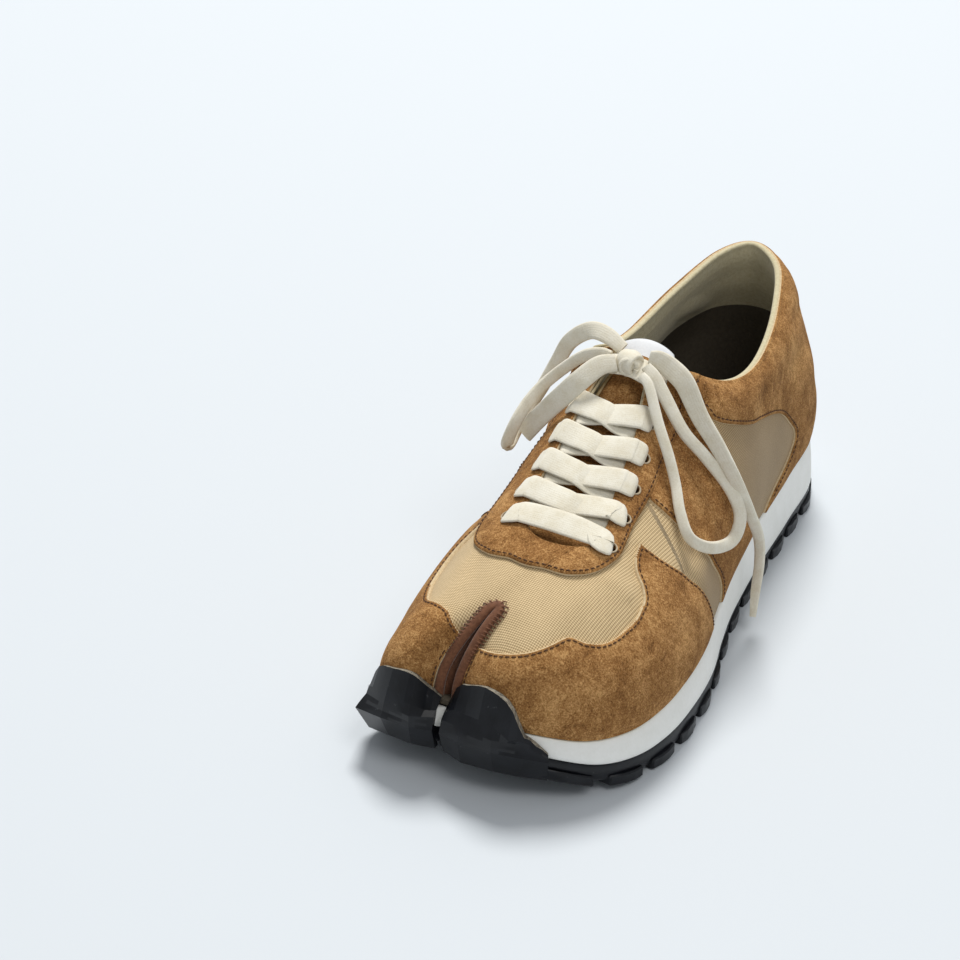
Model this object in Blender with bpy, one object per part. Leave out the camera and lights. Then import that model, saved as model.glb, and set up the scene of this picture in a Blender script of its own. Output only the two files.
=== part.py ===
# A split-toe trainer for the left foot, in suede and canvas, standing on its sole.
# Metres, +Z up. The toe points to -Y, the outer side is +X, and the floor is at z = 0.

import bmesh
import bpy
import numpy as np
from mathutils import Vector
from mathutils.geometry import delaunay_2d_cdt

# Driving sizes
LENGTH = 0.272
BALL_WIDTH = 0.107
UPPER_HEIGHT = 0.073
MIDSOLE_HEEL = 0.0215
OUTSOLE_THICKNESS = 0.009
TOE_SPRING = 0.016
CENTRE_SHIFT = -0.0009

# Thicknesses and gaps
UPPER_WALL = 0.0022
CLEFT_WALL = 0.0014
PANEL_THICKNESS = 0.0012
INSOLE_THICKNESS = 0.0035
INSOLE_INSET = 0.0024
LEDGE = 0.001
TOE_INSET = 0.0018
TONGUE_THICKNESS = 0.0034
FLAP_THICKNESS = 0.0030
FLAP_CLEARANCE = 0.0010
GAP = 0.0003
FEATHER_INSET = 0.0045
FEATHER_LEDGE = 0.0006
SIDE_INSET = 0.0004

# The slit between the big toe and the others
CLEFT_GAP = 0.0032
CLEFT_TOP = 0.60
CLEFT_END = 0.872
VALLEY_DEPTH = 0.0045
VALLEY_WIDTH = 0.0085
WALL_SHARE = (0, 0.45, 0.80, 1, 0.80, 0.45)
SOLE_NOTCH = 0.10

# Lugs of the outsole
LUG_DEPTH = 0.0024
LUG_PITCH = 0.0185
LUG_LENGTH = 0.0135
LUG_REACH = 0.019
LUG_PROUD = 0.0008
CENTRE_LUG = 0.017

# Lacing
EYELET_ROWS = 6
EYELET_FIRST = -0.0565
EYELET_PITCH = 0.0128
EYELET_INSET = 0.0080
EYELET_RADIUS = 0.0021
EYELET_SIDES = 6
LACE_WIDTH = 0.0086
LACE_THICKNESS = 0.0012
CORD_RADIUS = 0.0016
CORD_STEP = 0.0075
BINDING_RADIUS = 0.0011

# Sole profile. Columns: name, station from heel to toe as a share of LENGTH, ground line as a
# share of TOE_SPRING, outsole as a share of OUTSOLE_THICKNESS, midsole as a share of MIDSOLE_HEEL
SOLE_PROFILE = [
    ("heel_end", -0.03, 0.00, 0.75, 1.00),
    ("heel", 0.12, 0.00, 0.78, 1.00),
    ("heel_front", 0.32, 0.00, 0.65, 0.94),
    ("waist", 0.43, 0.00, 0.60, 0.80),
    ("arch", 0.52, 0.00, 0.75, 0.66),
    ("ball", 0.62, 0.00, 0.92, 0.55),
    ("joint", 0.77, 0.00, 1.00, 0.52),
    ("toes", 0.86, 0.07, 1.00, 0.46),
    ("toe_bend", 0.92, 0.28, 1.00, 0.42),
    ("toe_rise", 0.96, 0.66, 0.95, 0.38),
    ("tip", 1.00, 1.00, 0.90, 0.30),
]

# Ribs of the last, once round from the back of the heel along the outer side. Each rib rises from
# the sole to the opening on one cubic curve. Columns: name, then the sole line's station (of LENGTH)
# and x (of BALL_WIDTH), the inset of the upper (of FEATHER_INSET), the rise (of UPPER_HEIGHT) and
# belly (of BALL_WIDTH) of the lower handle, the opening's station, x and height (of UPPER_HEIGHT),
# the reach and drop of the upper handle, and the mesh columns up to the next rib
RIBS = [
    ("heel_back", 0.000, -0.010, 0.7, 0.35, 0.030, 0.047, -0.020, 1.00, 0.060, 0.30, 3),
    ("heel_corner_l", 0.030, 0.205, 0.7, 0.35, 0.035, 0.088, 0.120, 0.97, 0.100, 0.28, 3),
    ("heel_l", 0.090, 0.320, 0.7, 0.35, 0.045, 0.175, 0.200, 0.89, 0.160, 0.26, 2),
    ("quarter_l", 0.220, 0.350, 0.6, 0.35, 0.045, 0.290, 0.248, 0.83, 0.120, 0.24, 2),
    ("waist_l", 0.370, 0.365, 0.6, 0.38, 0.050, 0.390, 0.230, 0.92, 0.130, 0.28, 2),
    ("corner_l", 0.480, 0.395, 0.7, 0.42, 0.050, 0.455, 0.140, 1.08, 0.200, 0.36, 4),
    ("top_l", 0.560, 0.435, 0.8, 0.42, 0.045, 0.452, 0.015, 1.10, 0.260, 0.40, 3),
    ("instep_l", 0.640, 0.482, 1.0, 0.40, 0.035, 0.560, 0.060, 0.88, 0.230, 0.28, 3),
    ("throat_l", 0.720, 0.499, 1.0, 0.37, 0.030, 0.650, 0.090, 0.73, 0.220, 0.18, 3),
    ("toe_l", 0.800, 0.488, 1.0, 0.34, 0.025, 0.690, 0.118, 0.68, 0.220, 0.14, 3),
    ("little_toe", 0.880, 0.425, 1.0, 0.33, 0.025, 0.716, 0.120, 0.65, 0.260, 0.12, 3),
    ("toe_corner_l", 0.938, 0.305, 1.0, 0.33, 0.020, 0.734, 0.112, 0.64, 0.320, 0.11, 3),
    ("tip_l", 0.972, 0.130, 1.0, 0.33, 0.010, 0.743, 0.096, 0.64, 0.400, 0.10, 5),
    ("mouth_l", 0.970, -0.142, 1.0, 0.32, 0.000, 0.749, 0.078, 0.64, 0.400, 0.10, 6),
    ("mouth_m", 0.970, -0.142, 1.0, 0.32, 0.000, 0.750, 0.070, 0.64, 0.400, 0.10, 3),
    ("tip_m", 0.980, -0.280, 1.0, 0.33, 0.010, 0.755, 0.020, 0.64, 0.400, 0.10, 3),
    ("toe_corner_m", 0.955, -0.410, 1.0, 0.33, 0.015, 0.752, -0.055, 0.64, 0.340, 0.11, 3),
    ("big_toe_m", 0.885, -0.468, 1.0, 0.34, 0.015, 0.735, -0.120, 0.66, 0.260, 0.12, 3),
    ("joint_m", 0.790, -0.492, 1.0, 0.36, 0.020, 0.690, -0.160, 0.70, 0.200, 0.16, 3),
    ("ball_m", 0.700, -0.498, 1.0, 0.38, 0.020, 0.620, -0.160, 0.80, 0.180, 0.24, 3),
    ("instep_m", 0.600, -0.460, 0.8, 0.42, 0.020, 0.530, -0.155, 0.94, 0.190, 0.32, 3),
    ("top_m", 0.510, -0.410, 0.8, 0.44, 0.020, 0.452, -0.135, 1.10, 0.230, 0.42, 3),
    ("corner_m", 0.430, -0.372, 0.7, 0.42, 0.030, 0.455, -0.235, 1.06, 0.150, 0.36, 4),
    ("waist_m", 0.330, -0.345, 0.6, 0.38, 0.035, 0.385, -0.255, 0.92, 0.080, 0.28, 2),
    ("quarter_m", 0.200, -0.340, 0.6, 0.35, 0.035, 0.290, -0.245, 0.83, 0.080, 0.24, 2),
    ("heel_m", 0.090, -0.315, 0.7, 0.35, 0.040, 0.175, -0.195, 0.89, 0.120, 0.26, 2),
    ("heel_corner_m", 0.030, -0.210, 0.7, 0.35, 0.035, 0.088, -0.125, 0.97, 0.090, 0.28, 3),
]
RIB_COUNT = len(RIBS)
RIB_NAMES = [row[0] for row in RIBS]
MOUTH_L = RIB_NAMES.index("mouth_l")
MOUTH_M = RIB_NAMES.index("mouth_m")

# Rows of the upper's mesh, as shares of each rib from the sole to the opening
UPPER_ROWS = (0, 0.15, 0.31, 0.46, CLEFT_TOP, 0.74, 0.87, 1)

# Edges of the suede panels. Columns: rib position, share up the rib
GUARD_TOP_LATERAL = [
    (8.12, 0.770), (8.72, 0.710), (8.84, 0.620), (9.20, 0.550), (9.76, 0.520), (10.44, 0.505),
    (10.84, 0.525), (11.36, 0.560), (11.72, 0.510), (12.20, 0.445), (12.52, 0.415), (13.00, 0.425),
]
GUARD_TOP_MEDIAL = [
    (14.00, 0.430), (14.40, 0.480), (15.25, 0.557), (15.90, 0.550), (16.55, 0.512),
    (17.40, 0.500), (18.00, 0.545), (18.35, 0.640), (18.60, 0.700),
]
GUARD_BACK_LATERAL = [(6.40, 0.000), (7.04, 0.305), (7.84, 0.625), (8.12, 0.770)]
GUARD_BACK_MEDIAL = [(20.45, 0.000), (19.80, 0.305), (19.00, 0.580), (18.60, 0.700)]
EYESTAY_EDGE = [
    (4.72, 1.000), (5.14, 0.925), (6.12, 0.765), (6.36, 0.770), (6.72, 0.800), (7.20, 0.812),
    (8.08, 0.840), (9.28, 0.835), (10.40, 0.855), (11.80, 0.875), (15.60, 0.875), (16.70, 0.810),
    (17.90, 0.690), (18.90, 0.660), (20.00, 0.660), (20.90, 0.660), (21.86, 0.925), (22.28, 1.000),
]
STRAP_FRONT = [(5.68, 0.000), (5.84, 0.125), (6.36, 0.310), (6.96, 0.575), (7.32, 0.795)]
STRAP_BACK = [(3.90, 0.000), (4.00, 0.075), (4.28, 0.195), (5.00, 0.585), (5.20, 0.780)]
HEEL_FRONT = [
    (3.68, 0.000), (3.52, 0.065), (3.12, 0.130), (2.92, 0.185), (3.00, 0.345), (4.32, 0.735),
    (5.00, 0.800), (5.00, 0.920), (4.54, 1.000),
]
PANEL_MARGIN = 0.012
RIB_MARGIN = 0.035
LIP_MARGIN = 0.0036
SNAP = 0.006

# Toe flaps. Columns: rib position, height, where 0 is the top of the outsole, 1 the top of the
# midsole, and what is over 1 the share up the rib
FLAP_LATERAL = [
    (11.45, 0.30), (11.70, 0.80), (11.95, 1.080), (12.36, 1.215), (12.70, 1.180), (12.92, 1.130),
    (13.02, 1.050),
]
FLAP_MEDIAL = [
    (13.98, 1.040), (14.25, 1.090), (14.75, 1.175), (15.36, 1.165), (15.90, 1.090), (16.15, 0.80),
    (16.40, 0.30),
]
FLAP_STEPS = 10

# Free top of the tongue. Columns: name, y, centre x, half width, z in the middle, droop at the sides
TONGUE_TOP = [
    ("neck", 0.0150, -0.0060, 0.0105, 0.0985, 0.0055),
    ("label", 0.0212, -0.0066, 0.0135, 0.1012, 0.0045),
    ("edge", 0.0256, -0.0066, 0.0110, 0.1028, 0.0035),
]

# The knot: its middle, and its half length, width and height
KNOT_MIDDLE = (-0.0052, 0.0048, 0.1023)
KNOT_HALF = (0.0052, 0.0046, 0.0044)

# Routes of the bow's two loops and two free ends, from the knot outwards, in millimetres
MM = 0.001
LOOP_LATERAL = [
    (2.2, -1.6, 102.0), (6.5, -4.6, 100.1), (13.8, -12.2, 90.9), (21.0, -18.5, 82.4),
    (26.3, -23.7, 74.8), (31.8, -31.0, 67.5), (37.4, -34.1, 60.5), (42.8, -26.3, 53.9),
    (45.4, -12.0, 50.0), (44.6, -3.5, 55.5), (39.9, -3.6, 66.0), (30.4, -4.6, 76.7),
    (21.0, -4.7, 85.2), (12.0, -1.2, 94.8), (6.0, 1.2, 101.0), (2.0, 2.6, 103.8),
]
END_LATERAL = [
    (1.6, 6.6, 105.6), (5.4, 7.2, 105.0), (11.0, 6.4, 102.8), (17.0, 4.4, 99.4),
    (24.6, 1.0, 89.8), (33.4, -1.4, 80.4), (41.9, -2.6, 68.6), (45.4, 4.6, 52.6),
    (46.4, 14.0, 37.0), (47.4, 14.4, 26.0), (48.6, 9.0, 16.0), (49.9, 4.4, 8.0),
]
LOOP_MEDIAL = [
    (-10.6, 10.6, 104.2), (-17.9, 11.9, 107.4), (-25.0, 12.8, 107.2), (-33.0, 13.4, 100.6),
    (-37.6, 12.2, 91.2), (-41.8, 6.8, 80.4), (-44.6, -2.6, 72.6), (-45.2, -11.6, 66.4),
    (-43.6, -17.4, 70.0), (-41.6, -15.0, 77.6), (-39.6, -8.4, 83.6), (-36.3, -2.4, 88.8),
    (-30.1, 1.6, 95.4), (-22.9, 3.4, 101.6), (-16.8, 4.2, 103.6), (-12.8, 4.2, 103.4),
]
END_MEDIAL = [
    (-9.3, 1.0, 103.2), (-14.2, -3.0, 102.6), (-19.6, -9.0, 97.6), (-24.9, -11.0, 91.2),
    (-30.0, -10.8, 84.8), (-35.2, -10.5, 78.0), (-39.7, -9.5, 71.8),
]

# Colours, as linear red, green and blue, with roughness
MATERIALS = {
    "suede": ((0.270, 0.130, 0.052), 0.90),
    "canvas": ((0.430, 0.300, 0.160), 0.85),
    "foam": ((0.800, 0.800, 0.770), 0.50),
    "rubber": ((0.010, 0.011, 0.014), 0.55),
    "footbed": ((0.085, 0.065, 0.045), 0.90),
    "lace": ((0.780, 0.700, 0.560), 0.85),
    "binding": ((0.060, 0.018, 0.010), 0.45),
}

SCENE_NAME = "split_toe_trainer"


def clear_scene():
    for obj in list(bpy.data.objects):
        bpy.data.objects.remove(obj, do_unlink=True)


def make_collection(name, hidden=False):
    collection = bpy.data.collections.new(name)
    bpy.context.scene.collection.children.link(collection)
    collection.hide_render = hidden
    return collection


def material(name):
    found = bpy.data.materials.get(name)
    if found:
        return found
    colour, roughness = MATERIALS[name]
    made = bpy.data.materials.new(name)
    made.use_nodes = True
    shader = made.node_tree.nodes["Principled BSDF"]
    shader.inputs["Base Color"].default_value = (*colour, 1)
    shader.inputs["Roughness"].default_value = roughness
    shader.inputs["Metallic"].default_value = 0
    made.diffuse_color = (*colour, 1)
    return made


def make_object(name, points, faces, look, collection):
    """A closed mesh object with its faces turned outwards."""
    mesh = bpy.data.meshes.new(name)
    mesh.from_pydata([tuple(map(float, p)) for p in points], [], [list(map(int, f)) for f in faces])
    shape = bmesh.new()
    shape.from_mesh(mesh)
    bmesh.ops.recalc_face_normals(shape, faces=shape.faces)
    shape.to_mesh(mesh)
    shape.free()
    mesh.materials.append(material(look))
    obj = bpy.data.objects.new(name, mesh)
    collection.objects.link(obj)
    return obj


def make_cutter(name, points, faces, look, collection):
    """A helper solid that only feeds a Boolean."""
    obj = make_object(name, points, faces, look, collection)
    obj.hide_render = True
    obj.display_type = "WIRE"
    return obj


def add_booleans(obj, operation, collection):
    """One Boolean for each cutter in the collection."""
    for cutter in collection.objects:
        modifier = obj.modifiers.new(cutter.name, "BOOLEAN")
        modifier.operation = operation
        modifier.solver = "EXACT"
        modifier.object = cutter


# Curves through tables


def smooth_curve(at, value, x):
    """Cubic curve through the values at the stations, read at x."""
    at = np.asarray(at, float)
    value = np.asarray(value, float)
    slope = np.gradient(value, at)
    x = np.clip(x, at[0], at[-1])
    i = np.clip(np.searchsorted(at, x) - 1, 0, len(at) - 2)
    h = at[i + 1] - at[i]
    t = (x - at[i]) / h
    start = (2 * t**3 - 3 * t**2 + 1) * value[i] + (t**3 - 2 * t**2 + t) * h * slope[i]
    end = (3 * t**2 - 2 * t**3) * value[i + 1] + (t**3 - t**2) * h * slope[i + 1]
    return start + end


def smoothstep(a, b, x):
    t = np.clip((x - a) / (b - a), 0, 1)
    return t * t * (3 - 2 * t)


def unit(v):
    return v / np.linalg.norm(v, axis=-1, keepdims=True)


def edge_share(table, rib):
    """Share up the rib where a panel edge crosses the rib position."""
    ribs, shares = np.array(table).T
    return np.interp(rib, ribs, shares)


def edge_rib(table, share):
    """Rib position where a panel edge crosses the share."""
    ribs, shares = np.array(table).T
    return np.interp(share, shares, ribs)


# The sole's profile


def y_of(station):
    return LENGTH * (0.5 - station) + CENTRE_SHIFT


def station_of(y):
    return 0.5 - (y - CENTRE_SHIFT) / LENGTH


def profile(column, station):
    stations = [row[1] for row in SOLE_PROFILE]
    return smooth_curve(stations, [row[column] for row in SOLE_PROFILE], station)


def ground(station):
    return TOE_SPRING * np.maximum(profile(2, station), 0)


def join(station):
    return ground(station) + OUTSOLE_THICKNESS * profile(3, station)


def feather(station):
    return join(station) + MIDSOLE_HEEL * profile(4, station)


# The last


def rib_table():
    rows = np.array([row[1:-1] for row in RIBS], float)
    rows[:, 0] = y_of(rows[:, 0])
    rows[:, 1] *= BALL_WIDTH
    rows[MOUTH_L, 1] += CLEFT_GAP / 2
    rows[MOUTH_M, 1] -= CLEFT_GAP / 2
    return rows


def rib_values(rib):
    """Every column of the rib table at fractional rib positions, on a closed smooth curve."""
    table = rib_table()
    chord = np.linalg.norm(np.roll(table[:, :2], -1, 0) - table[:, :2], axis=1) ** 0.5
    rib = np.mod(rib, RIB_COUNT)
    i = np.floor(rib).astype(int) % RIB_COUNT
    t = (rib - np.floor(rib))[..., None]
    before, start = table[i - 1], table[i]
    end, after = table[(i + 1) % RIB_COUNT], table[(i + 2) % RIB_COUNT]
    d0, d1, d2 = (chord[k][..., None] for k in (i - 1, i, (i + 1) % RIB_COUNT))
    leave = ((start - before) / d0 - (end - before) / (d0 + d1) + (end - start) / d1) * d1
    arrive = ((end - start) / d1 - (after - start) / (d1 + d2) + (after - end) / d2) * d1
    near = (2 * t**3 - 3 * t**2 + 1) * start + (t**3 - 2 * t**2 + t) * leave
    return near + (3 * t**2 - 2 * t**3) * end + (t**3 - t**2) * arrive


def sole_line(rib):
    """Plan outline of the sole, with its outward normal."""
    here = rib_values(rib)[..., 1::-1]
    along = rib_values(rib + 0.02)[..., 1::-1] - rib_values(rib - 0.02)[..., 1::-1]
    return here, unit(np.stack([-along[..., 1], along[..., 0]], -1))


def with_height(plan, height):
    return np.concatenate([plan, np.broadcast_to(height, plan.shape[:-1])[..., None]], -1)


def base_skin(rib, share):
    """Outer face of the upper before the toes are parted."""
    _, _, inset, rise, belly, station, x, height, reach, drop = np.moveaxis(rib_values(rib), -1, 0)
    line, outward = sole_line(rib)
    foot = line - outward * (inset * FEATHER_INSET)[..., None]
    start = with_height(foot, feather(station_of(foot[..., 1])))
    top = feather(station) + height * UPPER_HEIGHT
    end = np.stack([x * BALL_WIDTH, y_of(station), top], -1)
    out = unit((start - end)[..., :2])
    low = start + with_height(out * (belly * BALL_WIDTH)[..., None], rise * UPPER_HEIGHT)
    high = end + with_height(out * (reach * BALL_WIDTH)[..., None], -drop * UPPER_HEIGHT)
    t = np.asarray(share)[..., None]
    lower = (1 - t) ** 3 * start + 3 * (1 - t) ** 2 * t * low
    return lower + 3 * (1 - t) * t**2 * high + t**3 * end


def skin_normal(rib, share, step=0.01):
    along = base_skin(rib + step, share) - base_skin(rib - step, share)
    up = base_skin(rib, np.minimum(share + step, 1)) - base_skin(rib, np.maximum(share - step, 0))
    return unit(np.cross(up, along))


def skin(rib, share):
    """Outer face of the upper, with the soft valley that runs down between the two toes."""
    rib, share = np.broadcast_arrays(np.asarray(rib, float), np.asarray(share, float))
    place = base_skin(rib, share)
    lip = base_skin(np.clip(rib, MOUTH_L, MOUTH_M), share)
    away = np.linalg.norm(place - lip, axis=-1)
    depth = VALLEY_DEPTH * np.exp(-((away / VALLEY_WIDTH) ** 2))
    depth = depth * (1 - smoothstep(0.25, CLEFT_TOP + 0.12, share))
    depth = depth * smoothstep(3.2, 2.6, np.abs(rib - (MOUTH_L + MOUTH_M) / 2))
    return place - skin_normal(rib, share) * depth[..., None]


def column_ribs():
    """Rib positions of the mesh columns."""
    return np.array([i + k / row[-1] for i, row in enumerate(RIBS) for k in range(row[-1])])


def slit_end():
    """Foot of the slit's inner end."""
    middle = (skin(MOUTH_L, 0) + skin(MOUTH_M, 0)) / 2
    top = (skin(MOUTH_L, CLEFT_TOP) + skin(MOUTH_M, CLEFT_TOP)) / 2
    run = (y_of(CLEFT_END) - middle[1]) / (top - middle)[1]
    return np.array([middle[0] + (top - middle)[0] * run, y_of(CLEFT_END), feather(CLEFT_END)])


def upper_grid():
    """Outer face of the upper as a grid, in by one wall of the slit and out by the other."""
    ribs = column_ribs()
    shares = np.array(UPPER_ROWS)
    grid = skin(ribs[None, :], shares[:, None])
    first = int(np.argmin(np.abs(ribs - MOUTH_L)))
    outer_lip = grid[:, first].copy()
    inner_lip = grid[:, first + len(WALL_SHARE)].copy()
    middle = (outer_lip + inner_lip) / 2
    top = (skin(MOUTH_L, CLEFT_TOP) + skin(MOUTH_M, CLEFT_TOP)) / 2
    bottom = slit_end()
    for row, share in enumerate(shares):
        for k, deep in enumerate(WALL_SHARE[1:], 1):
            if share < CLEFT_TOP - 1e-6:
                end = bottom + (top - bottom) * share / CLEFT_TOP
                side = (1, 1, 0, -1, -1)[k - 1]
                apart = (outer_lip[row] - inner_lip[row]) / 2 * side * (1 - deep**2) ** 0.5
                grid[row, first + k] = middle[row] + (end - middle[row]) * deep + apart
            else:
                across = (inner_lip[row] - outer_lip[row]) * k / len(WALL_SHARE)
                grid[row, first + k] = outer_lip[row] + across
    return ribs, shares, grid


def grid_triangles(rows, columns, closed):
    """Two triangles a cell, turned outwards on the upper, as indices into the flattened grid."""
    faces = []
    for row in range(rows - 1):
        for column in range(columns if closed else columns - 1):
            right = (column + 1) % columns
            a = row * columns + column
            b = a + columns
            c = (row + 1) * columns + right
            d = row * columns + right
            faces.append([a, b, c])
            faces.append([a, c, d])
    return faces


def grid_normals(grid, closed=True):
    """Normal at each point of a grid, averaged over its triangles."""
    rows, columns = grid.shape[:2]
    flat = grid.reshape(-1, 3)
    faces = np.array(grid_triangles(rows, columns, closed))
    across = np.cross(flat[faces[:, 1]] - flat[faces[:, 0]], flat[faces[:, 2]] - flat[faces[:, 0]])
    total = np.zeros_like(flat)
    for corner in range(3):
        np.add.at(total, faces[:, corner], across)
    return unit(total).reshape(grid.shape)


def level_cleft_normals(ribs, shares, outer, normals):
    """Turns the normals of the slit's wall level, so that its inner face keeps clear of itself."""
    first = int(np.argmin(np.abs(ribs - MOUTH_L)))
    across = unit(outer[0, first] - outer[0, first + len(WALL_SHARE)])
    turns = ((-1, 0), (-0.9, 0.44), (0, 1), (0.9, 0.44), (1, 0))
    for row in np.flatnonzero(shares < CLEFT_TOP - 1e-6):
        middle = (outer[row, first] + outer[row, first + len(WALL_SHARE)]) / 2
        ahead = middle - outer[row, first + 3]
        ahead = unit(np.array([ahead[0], ahead[1], 0]))
        for k, (side, front) in enumerate(turns, 1):
            normals[row, first + k] = unit(across * side + ahead * front)
    top = int(np.argmin(np.abs(shares - CLEFT_TOP)))
    normals[top, first : first + len(WALL_SHARE)] = normals[top + 1, first : first + len(WALL_SHARE)]


def wall_grids():
    """Rib positions, shares, and the outer and inner faces of the upper's wall."""
    ribs, shares, outer = upper_grid()
    normals = grid_normals(outer)
    level_cleft_normals(ribs, shares, outer, normals)
    in_cleft = (ribs > MOUTH_L - 0.3) & (ribs < MOUTH_M + 0.3)
    wall = np.where(in_cleft[None, :] & (shares[:, None] < CLEFT_TOP), CLEFT_WALL, UPPER_WALL)
    inner = outer - normals * wall[..., None]
    first = int(np.argmin(np.abs(ribs - MOUTH_L)))
    top = int(np.argmin(np.abs(shares - CLEFT_TOP)))
    across = inner[top, first + len(WALL_SHARE)] - inner[top, first]
    for k, t in enumerate((0.08, 0.20, 0.50, 0.80, 0.92), 1):
        inner[top, first + k] = inner[top, first] + across * t
    return ribs, shares, outer, normals, inner


def solid_between(outer, inner, closed):
    """Points and faces of the solid between two grids of one size."""
    rows, columns = outer.shape[:2]
    count = rows * columns
    points = np.concatenate([outer.reshape(-1, 3), inner.reshape(-1, 3)])
    front = grid_triangles(rows, columns, closed)
    faces = front + [[a + count, c + count, b + count] for a, b, c in front]
    number = np.arange(count).reshape(rows, columns)
    if closed:
        rims = [np.append(number[0], number[0, 0]), np.append(number[-1], number[-1, 0])]
    else:
        border = [number[0, :-1], number[:-1, -1], number[-1, :0:-1], number[:0:-1, 0]]
        rims = [np.concatenate([*border, number[0, :1]])]
    for rim in rims:
        faces += [[a, b, b + count, a + count] for a, b in zip(rim, rim[1:])]
    return points, faces


def make_upper(collection, holes):
    _, _, outer, _, inner = wall_grids()
    points, faces = solid_between(outer, inner, closed=True)
    obj = make_object("upper", points, faces, "canvas", collection)
    add_booleans(obj, "DIFFERENCE", holes)
    return obj


# Panels cut from the upper's own face


def skin_sheet(first, last):
    """The upper's outer triangles between two rib positions. Each corner holds its rib position,
    share, place and normal."""
    ribs, shares, outer, normals, _ = wall_grids()
    turns = np.array([-RIB_COUNT, 0])
    all_ribs = (ribs[None, :] + turns[:, None]).reshape(-1)
    index = np.tile(np.arange(len(ribs)), len(turns))
    chosen = (all_ribs >= first) & (all_ribs <= last)
    all_ribs, index = all_ribs[chosen], index[chosen]
    rib_grid, share_grid = np.meshgrid(all_ribs, shares)
    sheets = [rib_grid[..., None], share_grid[..., None], outer[:, index], normals[:, index]]
    corners = np.concatenate(sheets, -1)
    return corners.reshape(-1, 8), grid_triangles(len(shares), len(all_ribs), closed=False)


def cut_back(corners, polygons, limit):
    """Keeps what lies where limit(rib, share) is above 0."""
    level = limit(corners[:, 0], corners[:, 1])
    level[np.abs(level) < SNAP] = 0
    corners = list(corners)
    crossings = {}
    kept = []
    for polygon in polygons:
        if max(level[i] for i in polygon) <= 0:
            continue
        rest = []
        for a, b in zip(polygon, polygon[1:] + polygon[:1]):
            if level[a] >= 0:
                rest.append(a)
            if level[a] * level[b] < 0:
                key = (min(a, b), max(a, b))
                if key not in crossings:
                    crossings[key] = len(corners)
                    t = level[a] / (level[a] - level[b])
                    corners.append(corners[a] + (corners[b] - corners[a]) * t)
                rest.append(crossings[key])
        if len(rest) > 2:
            kept.append(rest)
    return np.array(corners), kept


def make_panel(name, first, last, limits, look, collection):
    """A sheet of one thickness that lies on the upper inside all the limits."""
    corners, polygons = skin_sheet(first, last)
    for limit in limits:
        corners, polygons = cut_back(corners, polygons, limit)
    place, normal = corners[:, 2:5], corners[:, 5:]
    count = len(corners)
    points = np.concatenate([place + normal * (GAP + PANEL_THICKNESS), place + normal * GAP])
    edges = {(a, b) for p in polygons for a, b in zip(p, p[1:] + p[:1])}
    faces = list(polygons) + [[i + count for i in reversed(p)] for p in polygons]
    faces += [[b, a, a + count, b + count] for a, b in edges if (b, a) not in edges]
    used = sorted({i for face in faces for i in face})
    renumber = {old: new for new, old in enumerate(used)}
    faces = [[renumber[i] for i in face] for face in faces]
    return make_object(name, points[used], faces, look, collection)


def mirrored(rib):
    return RIB_COUNT - rib


def lip_rib(distance, side):
    """Rib position at a distance from the slit, on its outer (+1) or inner (-1) side."""
    lip = MOUTH_L if side > 0 else MOUTH_M
    spacing = np.linalg.norm(skin(lip, 0.3) - skin(lip - side, 0.3))
    return lip - side * distance / spacing


def make_toe_guards(collection):
    outer_lip = lip_rib(LIP_MARGIN, 1)
    inner_lip = lip_rib(LIP_MARGIN, -1)
    lateral = [
        lambda r, v: edge_share(GUARD_TOP_LATERAL, r) - v,
        lambda r, v: r - edge_rib(GUARD_BACK_LATERAL, v),
        lambda r, v: outer_lip - r,
        lambda r, v: edge_share(EYESTAY_EDGE, r) - PANEL_MARGIN - v,
    ]
    medial = [
        lambda r, v: edge_share(GUARD_TOP_MEDIAL, r) - v,
        lambda r, v: edge_rib(GUARD_BACK_MEDIAL, v) - r,
        lambda r, v: r - inner_lip,
        lambda r, v: edge_share(EYESTAY_EDGE, r) - PANEL_MARGIN - v,
    ]
    make_panel("toe_guard_lateral", 6, 13, lateral, "suede", collection)
    make_panel("toe_guard_medial", 14, 21, medial, "suede", collection)


def make_eyestay(collection, holes):
    limits = [lambda r, v: v - edge_share(EYESTAY_EDGE, r)]
    obj = make_panel("eyestay", 4.5, 22.5, limits, "suede", collection)
    add_booleans(obj, "DIFFERENCE", holes)


def make_side_straps(collection):
    def strap_limits(turn):
        return [
            lambda r, v: edge_rib(STRAP_FRONT, v) - RIB_MARGIN - turn(r),
            lambda r, v: turn(r) - edge_rib(STRAP_BACK, v) - RIB_MARGIN,
            lambda r, v: edge_share(EYESTAY_EDGE, r) - PANEL_MARGIN - v,
        ]

    make_panel("side_strap_lateral", 3.5, 8, strap_limits(lambda r: r), "suede", collection)
    make_panel("side_strap_medial", 19, 23.5, strap_limits(mirrored), "suede", collection)


def make_heel_panel(collection):
    limits = [lambda r, v: edge_rib(HEEL_FRONT, v) - RIB_MARGIN - np.abs(r)]
    make_panel("heel_panel", -5.6, 5.6, limits, "suede", collection)


# Sole


def fill_ring(ring, inside):
    """Triangles that fill a ring, as indices into its points followed by the inside points."""
    points = [Vector(p) for p in (*ring.tolist(), *inside.tolist())]
    edges = [(i, (i + 1) % len(ring)) for i in range(len(ring))]
    _, _, faces, originals, _, _ = delaunay_2d_cdt(points, edges, [], 1, 1e-7)
    return [[originals[i][0] for i in face] for face in faces]


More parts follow.
